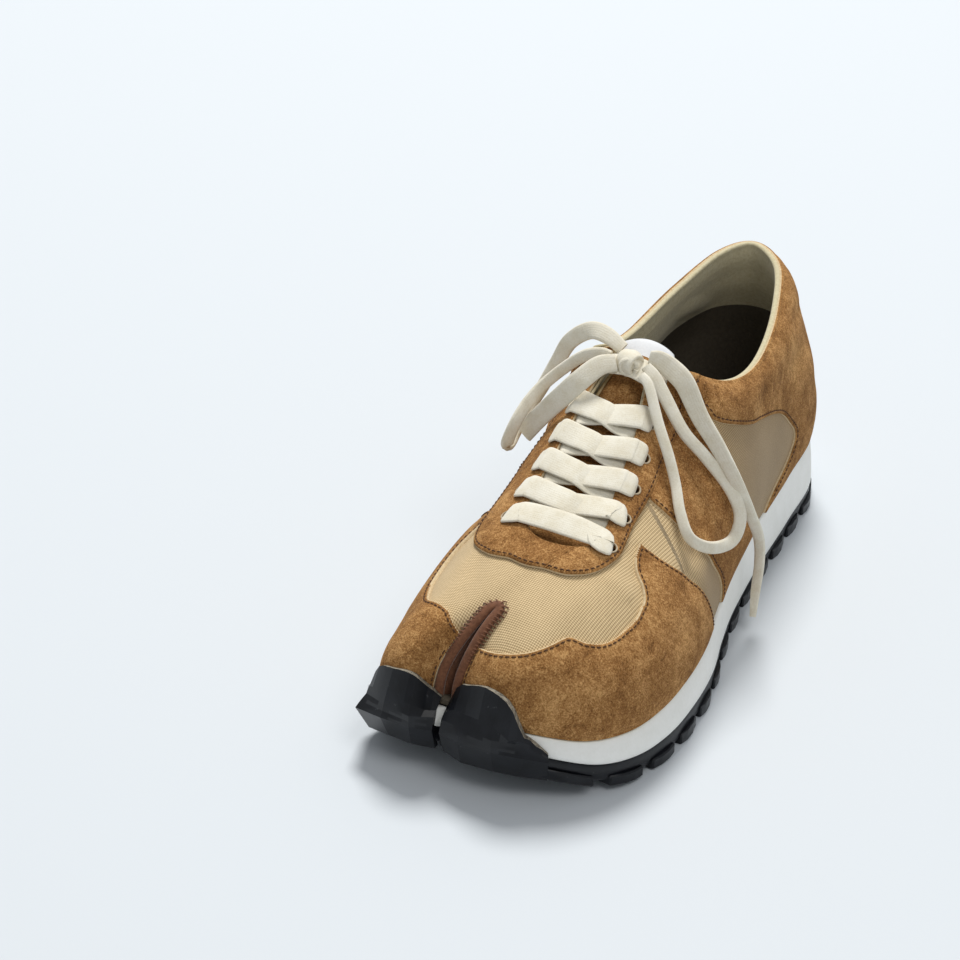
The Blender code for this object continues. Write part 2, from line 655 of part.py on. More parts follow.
def sole_ring(inset, notch=SOLE_NOTCH):
    """Plan outline of the sole moved in by inset, with a shallow notch at the slit."""
    ribs = column_ribs()
    line, outward = sole_line(ribs)
    ring = line - outward * np.asarray(inset)[..., None]
    first = int(np.argmin(np.abs(ribs - MOUTH_L)))
    middle = (ring[first] + ring[first + len(WALL_SHARE)]) / 2
    depth = (y_of(CLEFT_END) - middle[1]) * notch
    for k, deep in enumerate(WALL_SHARE):
        ring[first + k, 1] = middle[1] + depth * deep
    return ring


def inside_points(ring, margin=0.006, step=0.009):
    """Points on a loose grid inside a ring, well clear of it and closer at the bend of the toes."""
    low, high = ring.min(0), ring.max(0)
    closed = np.vstack([ring, ring[:1]])
    found = []
    for y in np.arange(low[1] + step, high[1], step):
        starts, ends = closed[:-1], closed[1:]
        crossing = (starts[:, 1] - y) * (ends[:, 1] - y) < 0
        t = (y - starts[crossing, 1]) / (ends[crossing, 1] - starts[crossing, 1])
        xs = np.sort(starts[crossing, 0] + (ends[crossing, 0] - starts[crossing, 0]) * t)
        for left, right in zip(xs[::2], xs[1::2]):
            across = 4 if y < y_of(0.82) else 1
            for x in np.linspace(left, right, across + 2)[1:-1]:
                if np.min(np.linalg.norm(ring - (x, y), axis=1)) > margin:
                    found.append((x, y))
    return np.array(found)


def slab(rings, heights, plan=None):
    """Solid from rings of plan points and the height function of each, bottom first."""
    plan = rings[0] if plan is None else plan
    inside = inside_points(plan)
    cap = fill_ring(rings[0], inside)
    count = len(rings[0])
    levels = [with_height(r, h(station_of(r[:, 1]))) for r, h in zip(rings, heights)]
    middles = [with_height(inside, h(station_of(inside[:, 1]))) for h in (heights[0], heights[-1])]
    points = np.concatenate([*levels, *middles])
    last = (len(rings) - 1) * count
    low_inside = len(rings) * count
    high_inside = low_inside + len(inside)
    faces = [[i if i < count else i - count + low_inside for i in f] for f in cap]
    faces += [[last + i if i < count else i - count + high_inside for i in f] for f in cap]
    for level in range(len(rings) - 1):
        start = level * count
        for i in range(count):
            j = (i + 1) % count
            faces.append([start + i, start + j, start + count + j, start + count + i])
    return points, faces


def foot_inset():
    """How far the upper's foot stands in from the sole's edge, at each column."""
    return rib_values(column_ribs())[:, 2] * FEATHER_INSET


def make_midsole(collection):
    top_inset = foot_inset() - FEATHER_LEDGE
    rings = [sole_ring(SIDE_INSET), sole_ring(top_inset * 0.35 + 0.0002), sole_ring(top_inset)]
    heights = [join, lambda s: (join(s) + feather(s)) / 2, lambda s: feather(s) - GAP]
    points, faces = slab(rings, heights)
    make_object("midsole", points, faces, "foam", collection)


def insole_ring():
    """Outline of the insole, clear of the upper's inner face and of the slit's wall."""
    ribs = column_ribs()
    lips = smoothstep(2.4, 1.0, np.abs(ribs - (MOUTH_L + MOUTH_M) / 2))
    ring = sole_ring(foot_inset() + UPPER_WALL + INSOLE_INSET + TOE_INSET * lips, notch=0)
    first = int(np.argmin(np.abs(ribs - MOUTH_L)))
    last = first + len(WALL_SHARE)
    middle = (ring[first] + ring[last]) / 2
    end = slit_end()[:2] + (0, CLEFT_WALL + INSOLE_INSET)
    across = np.array([CLEFT_GAP / 2 + CLEFT_WALL + INSOLE_INSET + LEDGE, 0])
    for k, deep in enumerate((*WALL_SHARE, 0)):
        side = np.sign(len(WALL_SHARE) / 2 - k)
        ring[first + k] = middle + (end - middle) * deep + across * side * (1 - deep**2) ** 0.5
    ring[first - 1, 0] = max(ring[first - 1, 0], ring[first, 0] + LEDGE)
    ring[last + 1, 0] = min(ring[last + 1, 0], ring[last, 0] - LEDGE)
    return ring


def make_insole(collection):
    rings = [insole_ring(), insole_ring()]
    points, faces = slab(rings, [lambda s: feather(s) + 2 * GAP, lambda s: feather(s) + INSOLE_THICKNESS])
    make_object("insole", points, faces, "footbed", collection)


def rib_at(y, side):
    """Rib position of the sole line at y, on the outer (+1) or inner (-1) side."""
    ribs = np.linspace(0.2, 12.2, 400) if side > 0 else np.linspace(26.8, 15.2, 400)
    line, _ = sole_line(ribs)
    return np.interp(-y, -line[:, 1], ribs)


def block(low_ring, high_ring):
    """Prism between two rings of the same number of points."""
    count = len(low_ring)
    points = np.concatenate([low_ring, high_ring])
    faces = [list(range(count)), list(range(count, 2 * count))]
    for i in range(count):
        j = (i + 1) % count
        faces.append([i, j, j + count, i + count])
    return points, faces


def lug_heights(plan):
    station = station_of(plan[:, 1])
    low = ground(station)
    return with_height(plan, low), with_height(plan, low + LUG_DEPTH + 0.001)


def make_lugs(cutters):
    """Blocks along both edges and down the middle of the tread."""
    first = y_of(0.035)
    count = int((first - y_of(0.965)) / LUG_PITCH)
    for i in range(count + 1):
        start = first - i * LUG_PITCH
        ends = np.array([start, start - LUG_LENGTH])
        for side in (1, -1):
            ribs = rib_at(ends, side)
            line, outward = sole_line(ribs)
            rim = line + outward * LUG_PROUD
            inner = line[::-1] - outward[::-1] * LUG_REACH
            inner[:, 1] = inner[:, 1] * 0.3 + rim[::-1, 1] * 0.7
            plan = np.concatenate([rim, inner])
            name = f"lug_{'outer' if side > 0 else 'inner'}_{i}"
            make_cutter(name, *block(*lug_heights(plan)), "rubber", cutters)
        middle = np.array([start + 0.004, start - LUG_LENGTH + 0.004])
        if i == 0:
            continue
        edges = [sole_line(rib_at(middle, side))[0][:, 0] for side in (1, -1)]
        centre = (edges[0] + edges[1]) / 2
        half = np.minimum(CENTRE_LUG / 2, (edges[0] - edges[1]) / 2 - LUG_REACH - 0.002)
        if half.min() < 0.004:
            continue
        left = np.stack([centre - half, middle], -1)
        right = np.stack([centre + half, middle], -1)
        plan = np.concatenate([left, right[::-1]])
        make_cutter(f"lug_centre_{i}", *block(*lug_heights(plan)), "rubber", cutters)


def flap_rows(rib, height):
    """Inner and outer face of a toe flap at one rib position, from the tread up to its height."""
    line, outward = sole_line(rib)
    inset = rib_values(rib)[2] * FEATHER_INSET
    levels = [-1, -0.3, 0] + [height * k / 4 for k in (1, 2, 3, 4)]
    inner, outer = [], []
    for level in levels:
        tip = 1 if level < height else 0.6
        if level <= 0:
            away = np.interp(level, [-1, -0.3, 0], [-0.003, -0.001, 0.0005])
            thick = np.interp(level, [-1, -0.3, 0], [0.0034, 0.0030, FLAP_THICKNESS])
            plan = line + outward * away
            station = station_of(plan[1])
            rise = np.interp(level, [-1, -0.3, 0], [0.0006, 0.78, 1.0])
            low, top = ground(station), join(station)
            z = low + 0.0006 if level == -1 else low + (top - low) * rise
            inner.append([*plan, z])
            outer.append([*(plan + outward * thick), z])
        elif level <= 1:
            plan = line + outward * (0.0005 + (0.0019 - inset) * level)
            station = station_of(plan[1])
            z = join(station) + (feather(station) - join(station)) * level
            inner.append([*plan, z])
            outer.append([*(plan + outward * FLAP_THICKNESS * tip), z + 0.0004])
        else:
            place = skin(rib, level - 1)
            normal = skin_normal(rib, level - 1)
            clear = 2 * GAP + PANEL_THICKNESS + FLAP_CLEARANCE
            inner.append(place + normal * clear)
            outer.append(place + normal * (clear + FLAP_THICKNESS * tip))
    return np.array(inner), np.array(outer)


def make_flaps(cutters):
    for name, table in (("flap_lateral", FLAP_LATERAL), ("flap_medial", FLAP_MEDIAL)):
        ends = (table[0][0], table[-1][0])
        ribs = np.linspace(*ends, FLAP_STEPS + 1)
        rows = [flap_rows(rib, float(edge_share(table, rib))) for rib in ribs]
        inner = np.stack([row[0] for row in rows], 1)
        outer = np.stack([row[1] for row in rows], 1)
        make_cutter(name, *solid_between(outer, inner, closed=False), "rubber", cutters)


def make_outsole(collection, cutters):
    rings = [sole_ring(SIDE_INSET), sole_ring(SIDE_INSET)]
    heights = [lambda s: ground(s) + LUG_DEPTH, lambda s: join(s) - GAP]
    points, faces = slab(rings, heights)
    obj = make_object("outsole", points, faces, "rubber", collection)
    make_lugs(cutters)
    make_flaps(cutters)
    add_booleans(obj, "UNION", cutters)


# Tongue and lacing


def throat_rib(y, side):
    """Rib position where the throat's edge is at y, on the outer (+1) or inner (-1) side."""
    ribs = np.linspace(6, 13, 300) if side > 0 else np.linspace(21, 14, 300)
    return float(np.interp(-y, -skin(ribs, 1.0)[:, 1], ribs))


def share_below(rib, distance):
    """Share whose point lies this far down the rib from the opening."""
    shares = np.linspace(1, 0.4, 200)
    places = skin(rib, shares)
    run = np.cumsum(np.linalg.norm(np.diff(places, axis=0), axis=1))
    return float(np.interp(distance, np.append(0, run), shares))


def on_skin(rib, share, above):
    return skin(rib, share) + skin_normal(rib, np.asarray(share, float)) * above


TONGUE_SIDES = (0.0115, 0.006, 0.0)
TONGUE_DEPTH = UPPER_WALL + 0.0016
TONGUE_CROWN = 0.0012


def tongue_row(y):
    """Top face of the tongue across the throat, from the inner side to the outer side."""
    edges = {}
    for side in (-1, 1):
        rib = throat_rib(y, side)
        edges[side] = [on_skin(rib, share_below(rib, d), -TONGUE_DEPTH) for d in TONGUE_SIDES]
    left, right = edges[-1][-1], edges[1][-1]
    middle = []
    for t in (0.25, 0.5, 0.75):
        crown = TONGUE_CROWN * (1 - (2 * t - 1) ** 2)
        middle.append(left + (right - left) * t + np.array([0, 0, crown]))
    return np.array([*edges[-1], *middle, *edges[1][::-1]])


def tongue_front():
    """First row of the tongue, tucked under the front of the throat."""
    ribs = (17.1, 16.4, 15.8, 15.0, 13.5, 12.2, 11.5, 10.9, 10.3)
    return np.array([on_skin(r, share_below(r, 0.010), -TONGUE_DEPTH) for r in ribs])


def tongue_top(row):
    """A free row of the tongue above the throat."""
    _, y, x, half, z, droop = row
    across = np.linspace(-1, 1, 9)
    return np.stack([x + across * half, np.full(9, y), z - droop * across**2], -1)


def make_tongue(collection):
    rows = [tongue_front()]
    rows += [tongue_row(y) for y in np.linspace(-0.0560, 0.0045, 7)]
    rows += [tongue_top(row) for row in TONGUE_TOP]
    top = np.array(rows)
    normals = -grid_normals(top, closed=False)
    if normals[5, 4, 2] < 0:
        normals = -normals
    points, faces = solid_between(top, top - normals * TONGUE_THICKNESS, closed=False)
    make_object("tongue", points, faces, "suede", collection)


def eyelet(row, side):
    """Rib position and share of one eyelet."""
    rib = throat_rib(EYELET_FIRST + row * EYELET_PITCH, side)
    return rib, share_below(rib, EYELET_INSET)


def make_eyelet_holes(cutters):
    for row in range(EYELET_ROWS):
        for side in (-1, 1):
            rib, share = eyelet(row, side)
            centre = skin(rib, share)
            normal = skin_normal(rib, share)
            first = unit(np.cross(normal, (0, 1, 0)))
            second = np.cross(normal, first)
            angles = np.linspace(0.3, 0.3 + 2 * np.pi, EYELET_SIDES, endpoint=False)[:, None]
            circle = (first * np.cos(angles) + second * np.sin(angles)) * EYELET_RADIUS
            low = centre + circle - normal * 0.005
            high = centre + circle + normal * 0.004
            name = f"eyelet_hole_{row}_{'outer' if side > 0 else 'inner'}"
            make_cutter(name, *block(low, high), "suede", cutters)


LACE_OVER = GAP * 2 + PANEL_THICKNESS + LACE_THICKNESS / 2 + 0.0009
LACE_UNDER = -0.0001
LACE_CLEAR = 0.0044
LACE_CLEAR_STEP = 0.0011
LACE_SWAY = 0.0007


def ribbon(path, normals):
    """Flat strip along a path."""
    path, normals = np.array(path), unit(np.array(normals))
    along = unit(np.gradient(path, axis=0))
    across = unit(np.cross(along, normals)) * LACE_WIDTH / 2
    thick = np.cross(unit(across), along) * LACE_THICKNESS / 2
    corners = [path + across + thick, path - across + thick, path - across - thick]
    corners.append(path + across - thick)
    rings = np.stack(corners, 1)
    count = len(path)
    faces = [[0, 1, 2, 3], [4 * count - 4 + k for k in range(4)]]
    for i in range(count - 1):
        for k in range(4):
            n = (k + 1) % 4
            faces.append([4 * i + k, 4 * i + n, 4 * i + 4 + n, 4 * i + 4 + k])
    return rings.reshape(-1, 3), faces


def lace_end(row, side):
    """Places and normals of a strip from its eyelet over the edge of the throat."""
    rib, share = eyelet(row, side)
    shares = np.array([share, (share + 1) / 2, 1.0])
    return on_skin(rib, shares, LACE_OVER), skin_normal(np.full(3, rib), shares)


def strip(row, side):
    """A strip that comes up from beside the eyelet below, across the throat and over its edge."""
    places, normals = lace_end(row, side)
    rib, _ = eyelet(row - 1, -side)
    rib_up, _ = eyelet(row, -side)
    start_rib = rib * 0.78 + rib_up * 0.22
    start = on_skin(start_rib, 1.0, LACE_UNDER)
    start_normal = skin_normal(start_rib, np.float64(1.0))
    ends = places[-1], start
    inward = unit(ends[0] - ends[1])
    start = start + inward * (LACE_CLEAR + LACE_CLEAR_STEP * max(row - 3, 0))
    sway = start_normal * LACE_SWAY
    between = [places[-1] + (start - places[-1]) * 0.22 + sway]
    between.append((places[-1] + start) / 2)
    between.append(places[-1] + (start - places[-1]) * 0.78 - sway)
    path = [*places, *between, start]
    turned = [*normals]
    up = np.array([0, -0.35, 0.94])
    turned += [normals[-1] * (1 - t) + up * t for t in (0.6, 1.0)]
    turned += [up * 0.6 + start_normal * 0.4, up * 0.5 + start_normal * 0.5]
    return ribbon(path, turned)


def make_lace_rows(collection):
    outer, inner = lace_end(0, 1), lace_end(0, -1)
    gap = inner[0][-1] - outer[0][-1]
    between = [outer[0][-1] + gap * t for t in (0.33, 0.67)]
    up = np.array([0, -0.35, 0.94])
    path = [*outer[0], *between, *inner[0][::-1]]
    turned = [*outer[1], up, up, *inner[1][::-1]]
    make_object("lace_row_1", *ribbon(path, turned), "lace", collection)
    for row in range(1, EYELET_ROWS - 1):
        half = make_collection(f"lace_half_{row + 1}", hidden=True)
        make_cutter(f"lace_under_{row + 1}", *strip(row, 1), "lace", half)
        obj = make_object(f"lace_row_{row + 1}", *strip(row, -1), "lace", collection)
        add_booleans(obj, "UNION", half)


def smooth_route(points, step):
    """Points at even steps along a smooth curve through the given points."""
    points = np.array(points, float)
    padded = np.vstack([2 * points[0] - points[1], points, 2 * points[-1] - points[-2]])
    dense = [points[:1]]
    for before, start, end, after in zip(padded, padded[1:], padded[2:], padded[3:]):
        t = np.linspace(0, 1, 21)[1:, None]
        leave, arrive = (end - before) / 2, (after - start) / 2
        near = (2 * t**3 - 3 * t**2 + 1) * start + (t**3 - 2 * t**2 + t) * leave
        dense.append(near + (3 * t**2 - 2 * t**3) * end + (t**3 - t**2) * arrive)
    dense = np.vstack(dense)
    run = np.append(0, np.cumsum(np.linalg.norm(np.diff(dense, axis=0), axis=1)))
    count = int(round(run[-1] / step)) + 1
    at = np.linspace(0, run[-1], count)
    return np.stack([np.interp(at, run, dense[:, k]) for k in range(3)], -1)


def make_tube(name, points, radius, look, collection):
    """Round tube along a line of points."""
    curve = bpy.data.curves.new(name, "CURVE")
    curve.dimensions = "3D"
    curve.bevel_depth = radius
    curve.bevel_resolution = 2
    curve.use_fill_caps = True
    spline = curve.splines.new("POLY")
    spline.points.add(len(points) - 1)
    for target, point in zip(spline.points, points):
        target.co = (*map(float, point), 1)
    curve.materials.append(material(look))
    obj = bpy.data.objects.new(name, curve)
    collection.objects.link(obj)
    return obj


def make_bow(collection):
    routes = {
        "lace_loop_lateral": LOOP_LATERAL,
        "lace_end_lateral": END_LATERAL,
        "lace_loop_medial": LOOP_MEDIAL,
        "lace_end_medial": END_MEDIAL,
    }
    for name, route in routes.items():
        points = smooth_route(np.array(route) * MM, CORD_STEP)
        make_tube(name, points, CORD_RADIUS, "lace", collection)


def make_knot(collection):
    """A rounded lump joined to the two strips that come up from the top eyelets."""
    shape = bmesh.new()
    bmesh.ops.create_uvsphere(shape, u_segments=12, v_segments=8, radius=1)
    points = [Vector(KNOT_MIDDLE) + Vector(v.co * Vector(KNOT_HALF)) for v in shape.verts]
    faces = [[v.index for v in face.verts] for face in shape.faces]
    shape.free()
    obj = make_object("lace_knot", points, faces, "lace", collection)
    ends = make_collection("knot_strips", hidden=True)
    for side in (-1, 1):
        places, normals = lace_end(EYELET_ROWS - 1, side)
        path = [*places, np.array(KNOT_MIDDLE) - (0, 0, 0.001)]
        turned = [*normals, np.array([0, -0.35, 0.94])]
        name = f"knot_strip_{'outer' if side > 0 else 'inner'}"
        make_cutter(name, *ribbon(path, turned), "lace", ends)
    add_booleans(obj, "UNION", ends)


def make_binding(collection):
    """Piping up one lip of the slit, round its top and down the other."""
    above = BINDING_RADIUS + 2 * GAP
    aside = BINDING_RADIUS + 0.0002
    shares = np.linspace(0.03, CLEFT_TOP - 0.02, 8)
    outer = on_skin(np.full(8, lip_rib(aside, 1)), shares, above)
    inner = on_skin(np.full(8, lip_rib(aside, -1)), shares, above)
    middle = (MOUTH_L + MOUTH_M) / 2
    top = on_skin(middle, CLEFT_TOP + 0.03, above)
    points = smooth_route([*outer, top, *inner[::-1]], 0.004)
    make_tube("cleft_binding", points, BINDING_RADIUS, "binding", collection)


def main():
    clear_scene()
    bpy.context.scene.unit_settings.system = "METRIC"
    bpy.context.scene.unit_settings.scale_length = 1
    shoe = make_collection(SCENE_NAME)
    holes = make_collection("eyelet_holes", hidden=True)
    tread = make_collection("tread", hidden=True)
    make_eyelet_holes(holes)
    make_outsole(shoe, tread)
    make_midsole(shoe)
    make_insole(shoe)
    make_upper(shoe, holes)
    make_toe_guards(shoe)
    make_eyestay(shoe, holes)
    make_side_straps(shoe)
    make_heel_panel(shoe)
    make_tongue(shoe)
    make_binding(shoe)
    make_lace_rows(shoe)
    make_knot(shoe)
    make_bow(shoe)


main()
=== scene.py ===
# A split-toe trainer for the left foot, in suede and canvas: the finish of every surface.
# Metres, +Z up. The toe points to -Y, the outer side is +X, and the floor is at z = 0.

import math

import bmesh
import bpy
import numpy as np
from mathutils import Matrix, Vector
from mathutils.geometry import delaunay_2d_cdt
from mathutils.kdtree import KDTree


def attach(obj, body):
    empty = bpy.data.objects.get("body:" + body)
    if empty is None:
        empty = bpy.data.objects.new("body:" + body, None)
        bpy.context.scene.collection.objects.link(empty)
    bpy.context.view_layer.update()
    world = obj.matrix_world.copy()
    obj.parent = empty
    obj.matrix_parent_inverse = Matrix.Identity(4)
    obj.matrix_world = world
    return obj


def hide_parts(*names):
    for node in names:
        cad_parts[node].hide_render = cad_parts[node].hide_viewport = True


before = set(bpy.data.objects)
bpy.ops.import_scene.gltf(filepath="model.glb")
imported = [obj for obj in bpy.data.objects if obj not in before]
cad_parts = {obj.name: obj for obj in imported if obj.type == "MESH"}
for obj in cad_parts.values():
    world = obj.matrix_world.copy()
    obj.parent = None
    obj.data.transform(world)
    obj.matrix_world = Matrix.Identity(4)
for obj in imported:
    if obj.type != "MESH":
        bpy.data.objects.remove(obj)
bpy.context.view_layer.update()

# Driving sizes
LENGTH = 0.272
BALL_WIDTH = 0.107
UPPER_HEIGHT = 0.073
MIDSOLE_HEEL = 0.0215
OUTSOLE_THICKNESS = 0.009
TOE_SPRING = 0.016
CENTRE_SHIFT = -0.0009
# Thicknesses and gaps
UPPER_WALL = 0.0022
INSOLE_THICKNESS = 0.0035
TONGUE_THICKNESS = 0.0034
FLAP_THICKNESS = 0.0030
GAP = 0.0003
FEATHER_INSET = 0.0045
FEATHER_LEDGE = 0.0006
SIDE_INSET = 0.0004
# The slit between the big toe and the others
CLEFT_GAP = 0.0032
CLEFT_TOP = 0.60
CLEFT_END = 0.872
VALLEY_DEPTH = 0.0045
VALLEY_WIDTH = 0.0085
SOLE_NOTCH = 0.10
# Lugs of the outsole
LUG_DEPTH = 0.0024
LUG_PITCH = 0.0185
LUG_LENGTH = 0.0135
LUG_REACH = 0.019
LUG_PROUD = 0.0008
CENTRE_LUG = 0.017
# Lacing
EYELET_ROWS = 6
EYELET_FIRST = -0.0565
EYELET_PITCH = 0.0128
EYELET_INSET = 0.0080
EYELET_RADIUS = 0.0021
# Sole profile. Columns: name, station from heel to toe as a share of LENGTH, ground line as a
# share of TOE_SPRING, outsole as a share of OUTSOLE_THICKNESS, midsole as a share of MIDSOLE_HEEL
SOLE_PROFILE = [
    ("heel_end", -0.03, 0.00, 0.75, 1.00),
    ("heel", 0.12, 0.00, 0.78, 1.00),
    ("heel_front", 0.32, 0.00, 0.65, 0.94),
    ("waist", 0.43, 0.00, 0.60, 0.80),
    ("arch", 0.52, 0.00, 0.75, 0.66),
    ("ball", 0.62, 0.00, 0.92, 0.55),
    ("joint", 0.77, 0.00, 1.00, 0.52),
    ("toes", 0.86, 0.07, 1.00, 0.46),
    ("toe_bend", 0.92, 0.28, 1.00, 0.42),
    ("toe_rise", 0.96, 0.66, 0.95, 0.38),
    ("tip", 1.00, 1.00, 0.90, 0.30),
]
# Ribs of the last, once round from the back of the heel along the outer side. Each rib rises from
# the sole to the opening on one cubic curve. Columns: name, then the sole line's station (of LENGTH)
# and x (of BALL_WIDTH), the inset of the upper (of FEATHER_INSET), the rise (of UPPER_HEIGHT) and
# belly (of BALL_WIDTH) of the lower handle, the opening's station, x and height (of UPPER_HEIGHT),
# and the reach and drop of the upper handle
RIBS = [
    ("heel_back", 0.000, -0.010, 0.7, 0.35, 0.030, 0.047, -0.020, 1.00, 0.060, 0.30),
    ("heel_corner_l", 0.030, 0.205, 0.7, 0.35, 0.035, 0.088, 0.120, 0.97, 0.100, 0.28),
    ("heel_l", 0.090, 0.320, 0.7, 0.35, 0.045, 0.175, 0.200, 0.89, 0.160, 0.26),
    ("quarter_l", 0.220, 0.350, 0.6, 0.35, 0.045, 0.290, 0.248, 0.83, 0.120, 0.24),
    ("waist_l", 0.370, 0.365, 0.6, 0.38, 0.050, 0.390, 0.230, 0.92, 0.130, 0.28),
    ("corner_l", 0.480, 0.395, 0.7, 0.42, 0.050, 0.455, 0.140, 1.08, 0.200, 0.36),
    ("top_l", 0.560, 0.435, 0.8, 0.42, 0.045, 0.452, 0.015, 1.10, 0.260, 0.40),
    ("instep_l", 0.640, 0.482, 1.0, 0.40, 0.035, 0.560, 0.060, 0.88, 0.230, 0.28),
    ("throat_l", 0.720, 0.499, 1.0, 0.37, 0.030, 0.650, 0.090, 0.73, 0.220, 0.18),
    ("toe_l", 0.800, 0.488, 1.0, 0.34, 0.025, 0.690, 0.118, 0.68, 0.220, 0.14),
    ("little_toe", 0.880, 0.425, 1.0, 0.33, 0.025, 0.716, 0.120, 0.65, 0.260, 0.12),
    ("toe_corner_l", 0.938, 0.305, 1.0, 0.33, 0.020, 0.734, 0.112, 0.64, 0.320, 0.11),
    ("tip_l", 0.972, 0.130, 1.0, 0.33, 0.010, 0.743, 0.096, 0.64, 0.400, 0.10),
    ("mouth_l", 0.970, -0.142, 1.0, 0.32, 0.000, 0.749, 0.078, 0.64, 0.400, 0.10),
    ("mouth_m", 0.970, -0.142, 1.0, 0.32, 0.000, 0.750, 0.070, 0.64, 0.400, 0.10),
    ("tip_m", 0.980, -0.280, 1.0, 0.33, 0.010, 0.755, 0.020, 0.64, 0.400, 0.10),
    ("toe_corner_m", 0.955, -0.410, 1.0, 0.33, 0.015, 0.752, -0.055, 0.64, 0.340, 0.11),
    ("big_toe_m", 0.885, -0.468, 1.0, 0.34, 0.015, 0.735, -0.120, 0.66, 0.260, 0.12),
    ("joint_m", 0.790, -0.492, 1.0, 0.36, 0.020, 0.690, -0.160, 0.70, 0.200, 0.16),
    ("ball_m", 0.700, -0.498, 1.0, 0.38, 0.020, 0.620, -0.160, 0.80, 0.180, 0.24),
    ("instep_m", 0.600, -0.460, 0.8, 0.42, 0.020, 0.530, -0.155, 0.94, 0.190, 0.32),
    ("top_m", 0.510, -0.410, 0.8, 0.44, 0.020, 0.452, -0.135, 1.10, 0.230, 0.42),
    ("corner_m", 0.430, -0.372, 0.7, 0.42, 0.030, 0.455, -0.235, 1.06, 0.150, 0.36),
    ("waist_m", 0.330, -0.345, 0.6, 0.38, 0.035, 0.385, -0.255, 0.92, 0.080, 0.28),
    ("quarter_m", 0.200, -0.340, 0.6, 0.35, 0.035, 0.290, -0.245, 0.83, 0.080, 0.24),
    ("heel_m", 0.090, -0.315, 0.7, 0.35, 0.040, 0.175, -0.195, 0.89, 0.120, 0.26),
    ("heel_corner_m", 0.030, -0.210, 0.7, 0.35, 0.035, 0.088, -0.125, 0.97, 0.090, 0.28),
]
RIB_COUNT = len(RIBS)
RIB_NAMES = [row[0] for row in RIBS]
MOUTH_L = RIB_NAMES.index("mouth_l")
MOUTH_M = RIB_NAMES.index("mouth_m")
# Edges of the suede panels. Columns: rib position, share up the rib
GUARD_TOP_LATERAL = [
    (8.12, 0.770), (8.72, 0.710), (8.84, 0.620), (9.20, 0.550), (9.76, 0.520), (10.44, 0.505),
    (10.84, 0.525), (11.36, 0.560), (11.72, 0.510), (12.20, 0.445), (12.52, 0.415), (13.00, 0.425),
]
GUARD_TOP_MEDIAL = [
    (14.00, 0.430), (14.40, 0.480), (15.25, 0.557), (15.90, 0.550), (16.55, 0.512),
    (17.40, 0.500), (18.00, 0.545), (18.35, 0.640), (18.60, 0.700),
]
GUARD_BACK_LATERAL = [(6.40, 0.000), (7.04, 0.305), (7.84, 0.625), (8.12, 0.770)]
GUARD_BACK_MEDIAL = [(20.45, 0.000), (19.80, 0.305), (19.00, 0.580), (18.60, 0.700)]
EYESTAY_EDGE = [
    (4.72, 1.000), (5.14, 0.925), (6.12, 0.765), (6.36, 0.770), (6.72, 0.800), (7.20, 0.812),
    (8.08, 0.840), (9.28, 0.835), (10.40, 0.855), (11.80, 0.875), (15.60, 0.875), (16.70, 0.810),
    (17.90, 0.690), (18.90, 0.660), (20.00, 0.660), (20.90, 0.660), (21.86, 0.925), (22.28, 1.000),
]
STRAP_FRONT = [(5.68, 0.000), (5.84, 0.125), (6.36, 0.310), (6.96, 0.575), (7.32, 0.795)]
STRAP_BACK = [(3.90, 0.000), (4.00, 0.075), (4.28, 0.195), (5.00, 0.585), (5.20, 0.780)]
HEEL_FRONT = [
    (3.68, 0.000), (3.52, 0.065), (3.12, 0.130), (2.92, 0.185), (3.00, 0.345), (4.32, 0.735),
    (5.00, 0.800), (5.00, 0.920), (4.54, 1.000),
]
# Toe flaps. Columns: rib position, height, where 0 is the top of the outsole, 1 the top of the
# midsole, and what is over 1 the share up the rib
FLAP_LATERAL = [
    (11.45, 0.30), (11.70, 0.80), (11.95, 1.080), (12.36, 1.215), (12.70, 1.180), (12.92, 1.130),
    (13.02, 1.050),
]
FLAP_MEDIAL = [
    (13.98, 1.040), (14.25, 1.090), (14.75, 1.175), (15.36, 1.165), (15.90, 1.110), (16.30, 0.85),
    (16.60, 0.30),
]
# Free top of the tongue. Columns: name, y, centre x, half width, z in the middle, droop at the sides
TONGUE_TOP = [
    ("neck", 0.0150, -0.0060, 0.0105, 0.0985, 0.0055),
    ("label", 0.0212, -0.0066, 0.0135, 0.1012, 0.0045),
    ("edge", 0.0256, -0.0066, 0.0110, 0.1028, 0.0035),
]
# The knot: its middle, and its half length, width and height
KNOT_MIDDLE = (-0.0052, 0.0048, 0.1023)
KNOT_HALF = (0.0052, 0.0046, 0.0044)
# Routes of the bow's two loops and two free ends, from the knot outwards. Columns: x, y and z in
# millimetres, the turn of the lace's face in degrees, and its folded width in millimetres
MM = 0.001
LOOP_LATERAL = [
    (2.2, -1.6, 102.0, 10, 3.6), (6.5, -4.6, 100.1, 10, 3.8), (13.8, -12.2, 90.9, 10, 4.0),
    (21.0, -18.5, 82.4, 10, 4.0), (26.3, -23.7, 74.8, 10, 3.9), (31.8, -31.0, 67.5, 10, 4.0),
    (37.4, -34.1, 60.5, 10, 4.2), (42.8, -26.3, 53.9, 10, 4.6), (45.4, -12.0, 50.0, 10, 4.8),
    (44.6, -3.5, 55.5, 10, 4.8), (39.9, -3.6, 66.0, 10, 4.8), (30.4, -4.6, 76.7, 10, 4.6),
    (21.0, -4.7, 85.2, 10, 4.6), (12.0, -1.2, 94.8, 10, 5.0), (6.0, 1.2, 101.0, 10, 5.2),
    (2.0, 2.6, 103.8, 10, 4.0),
]
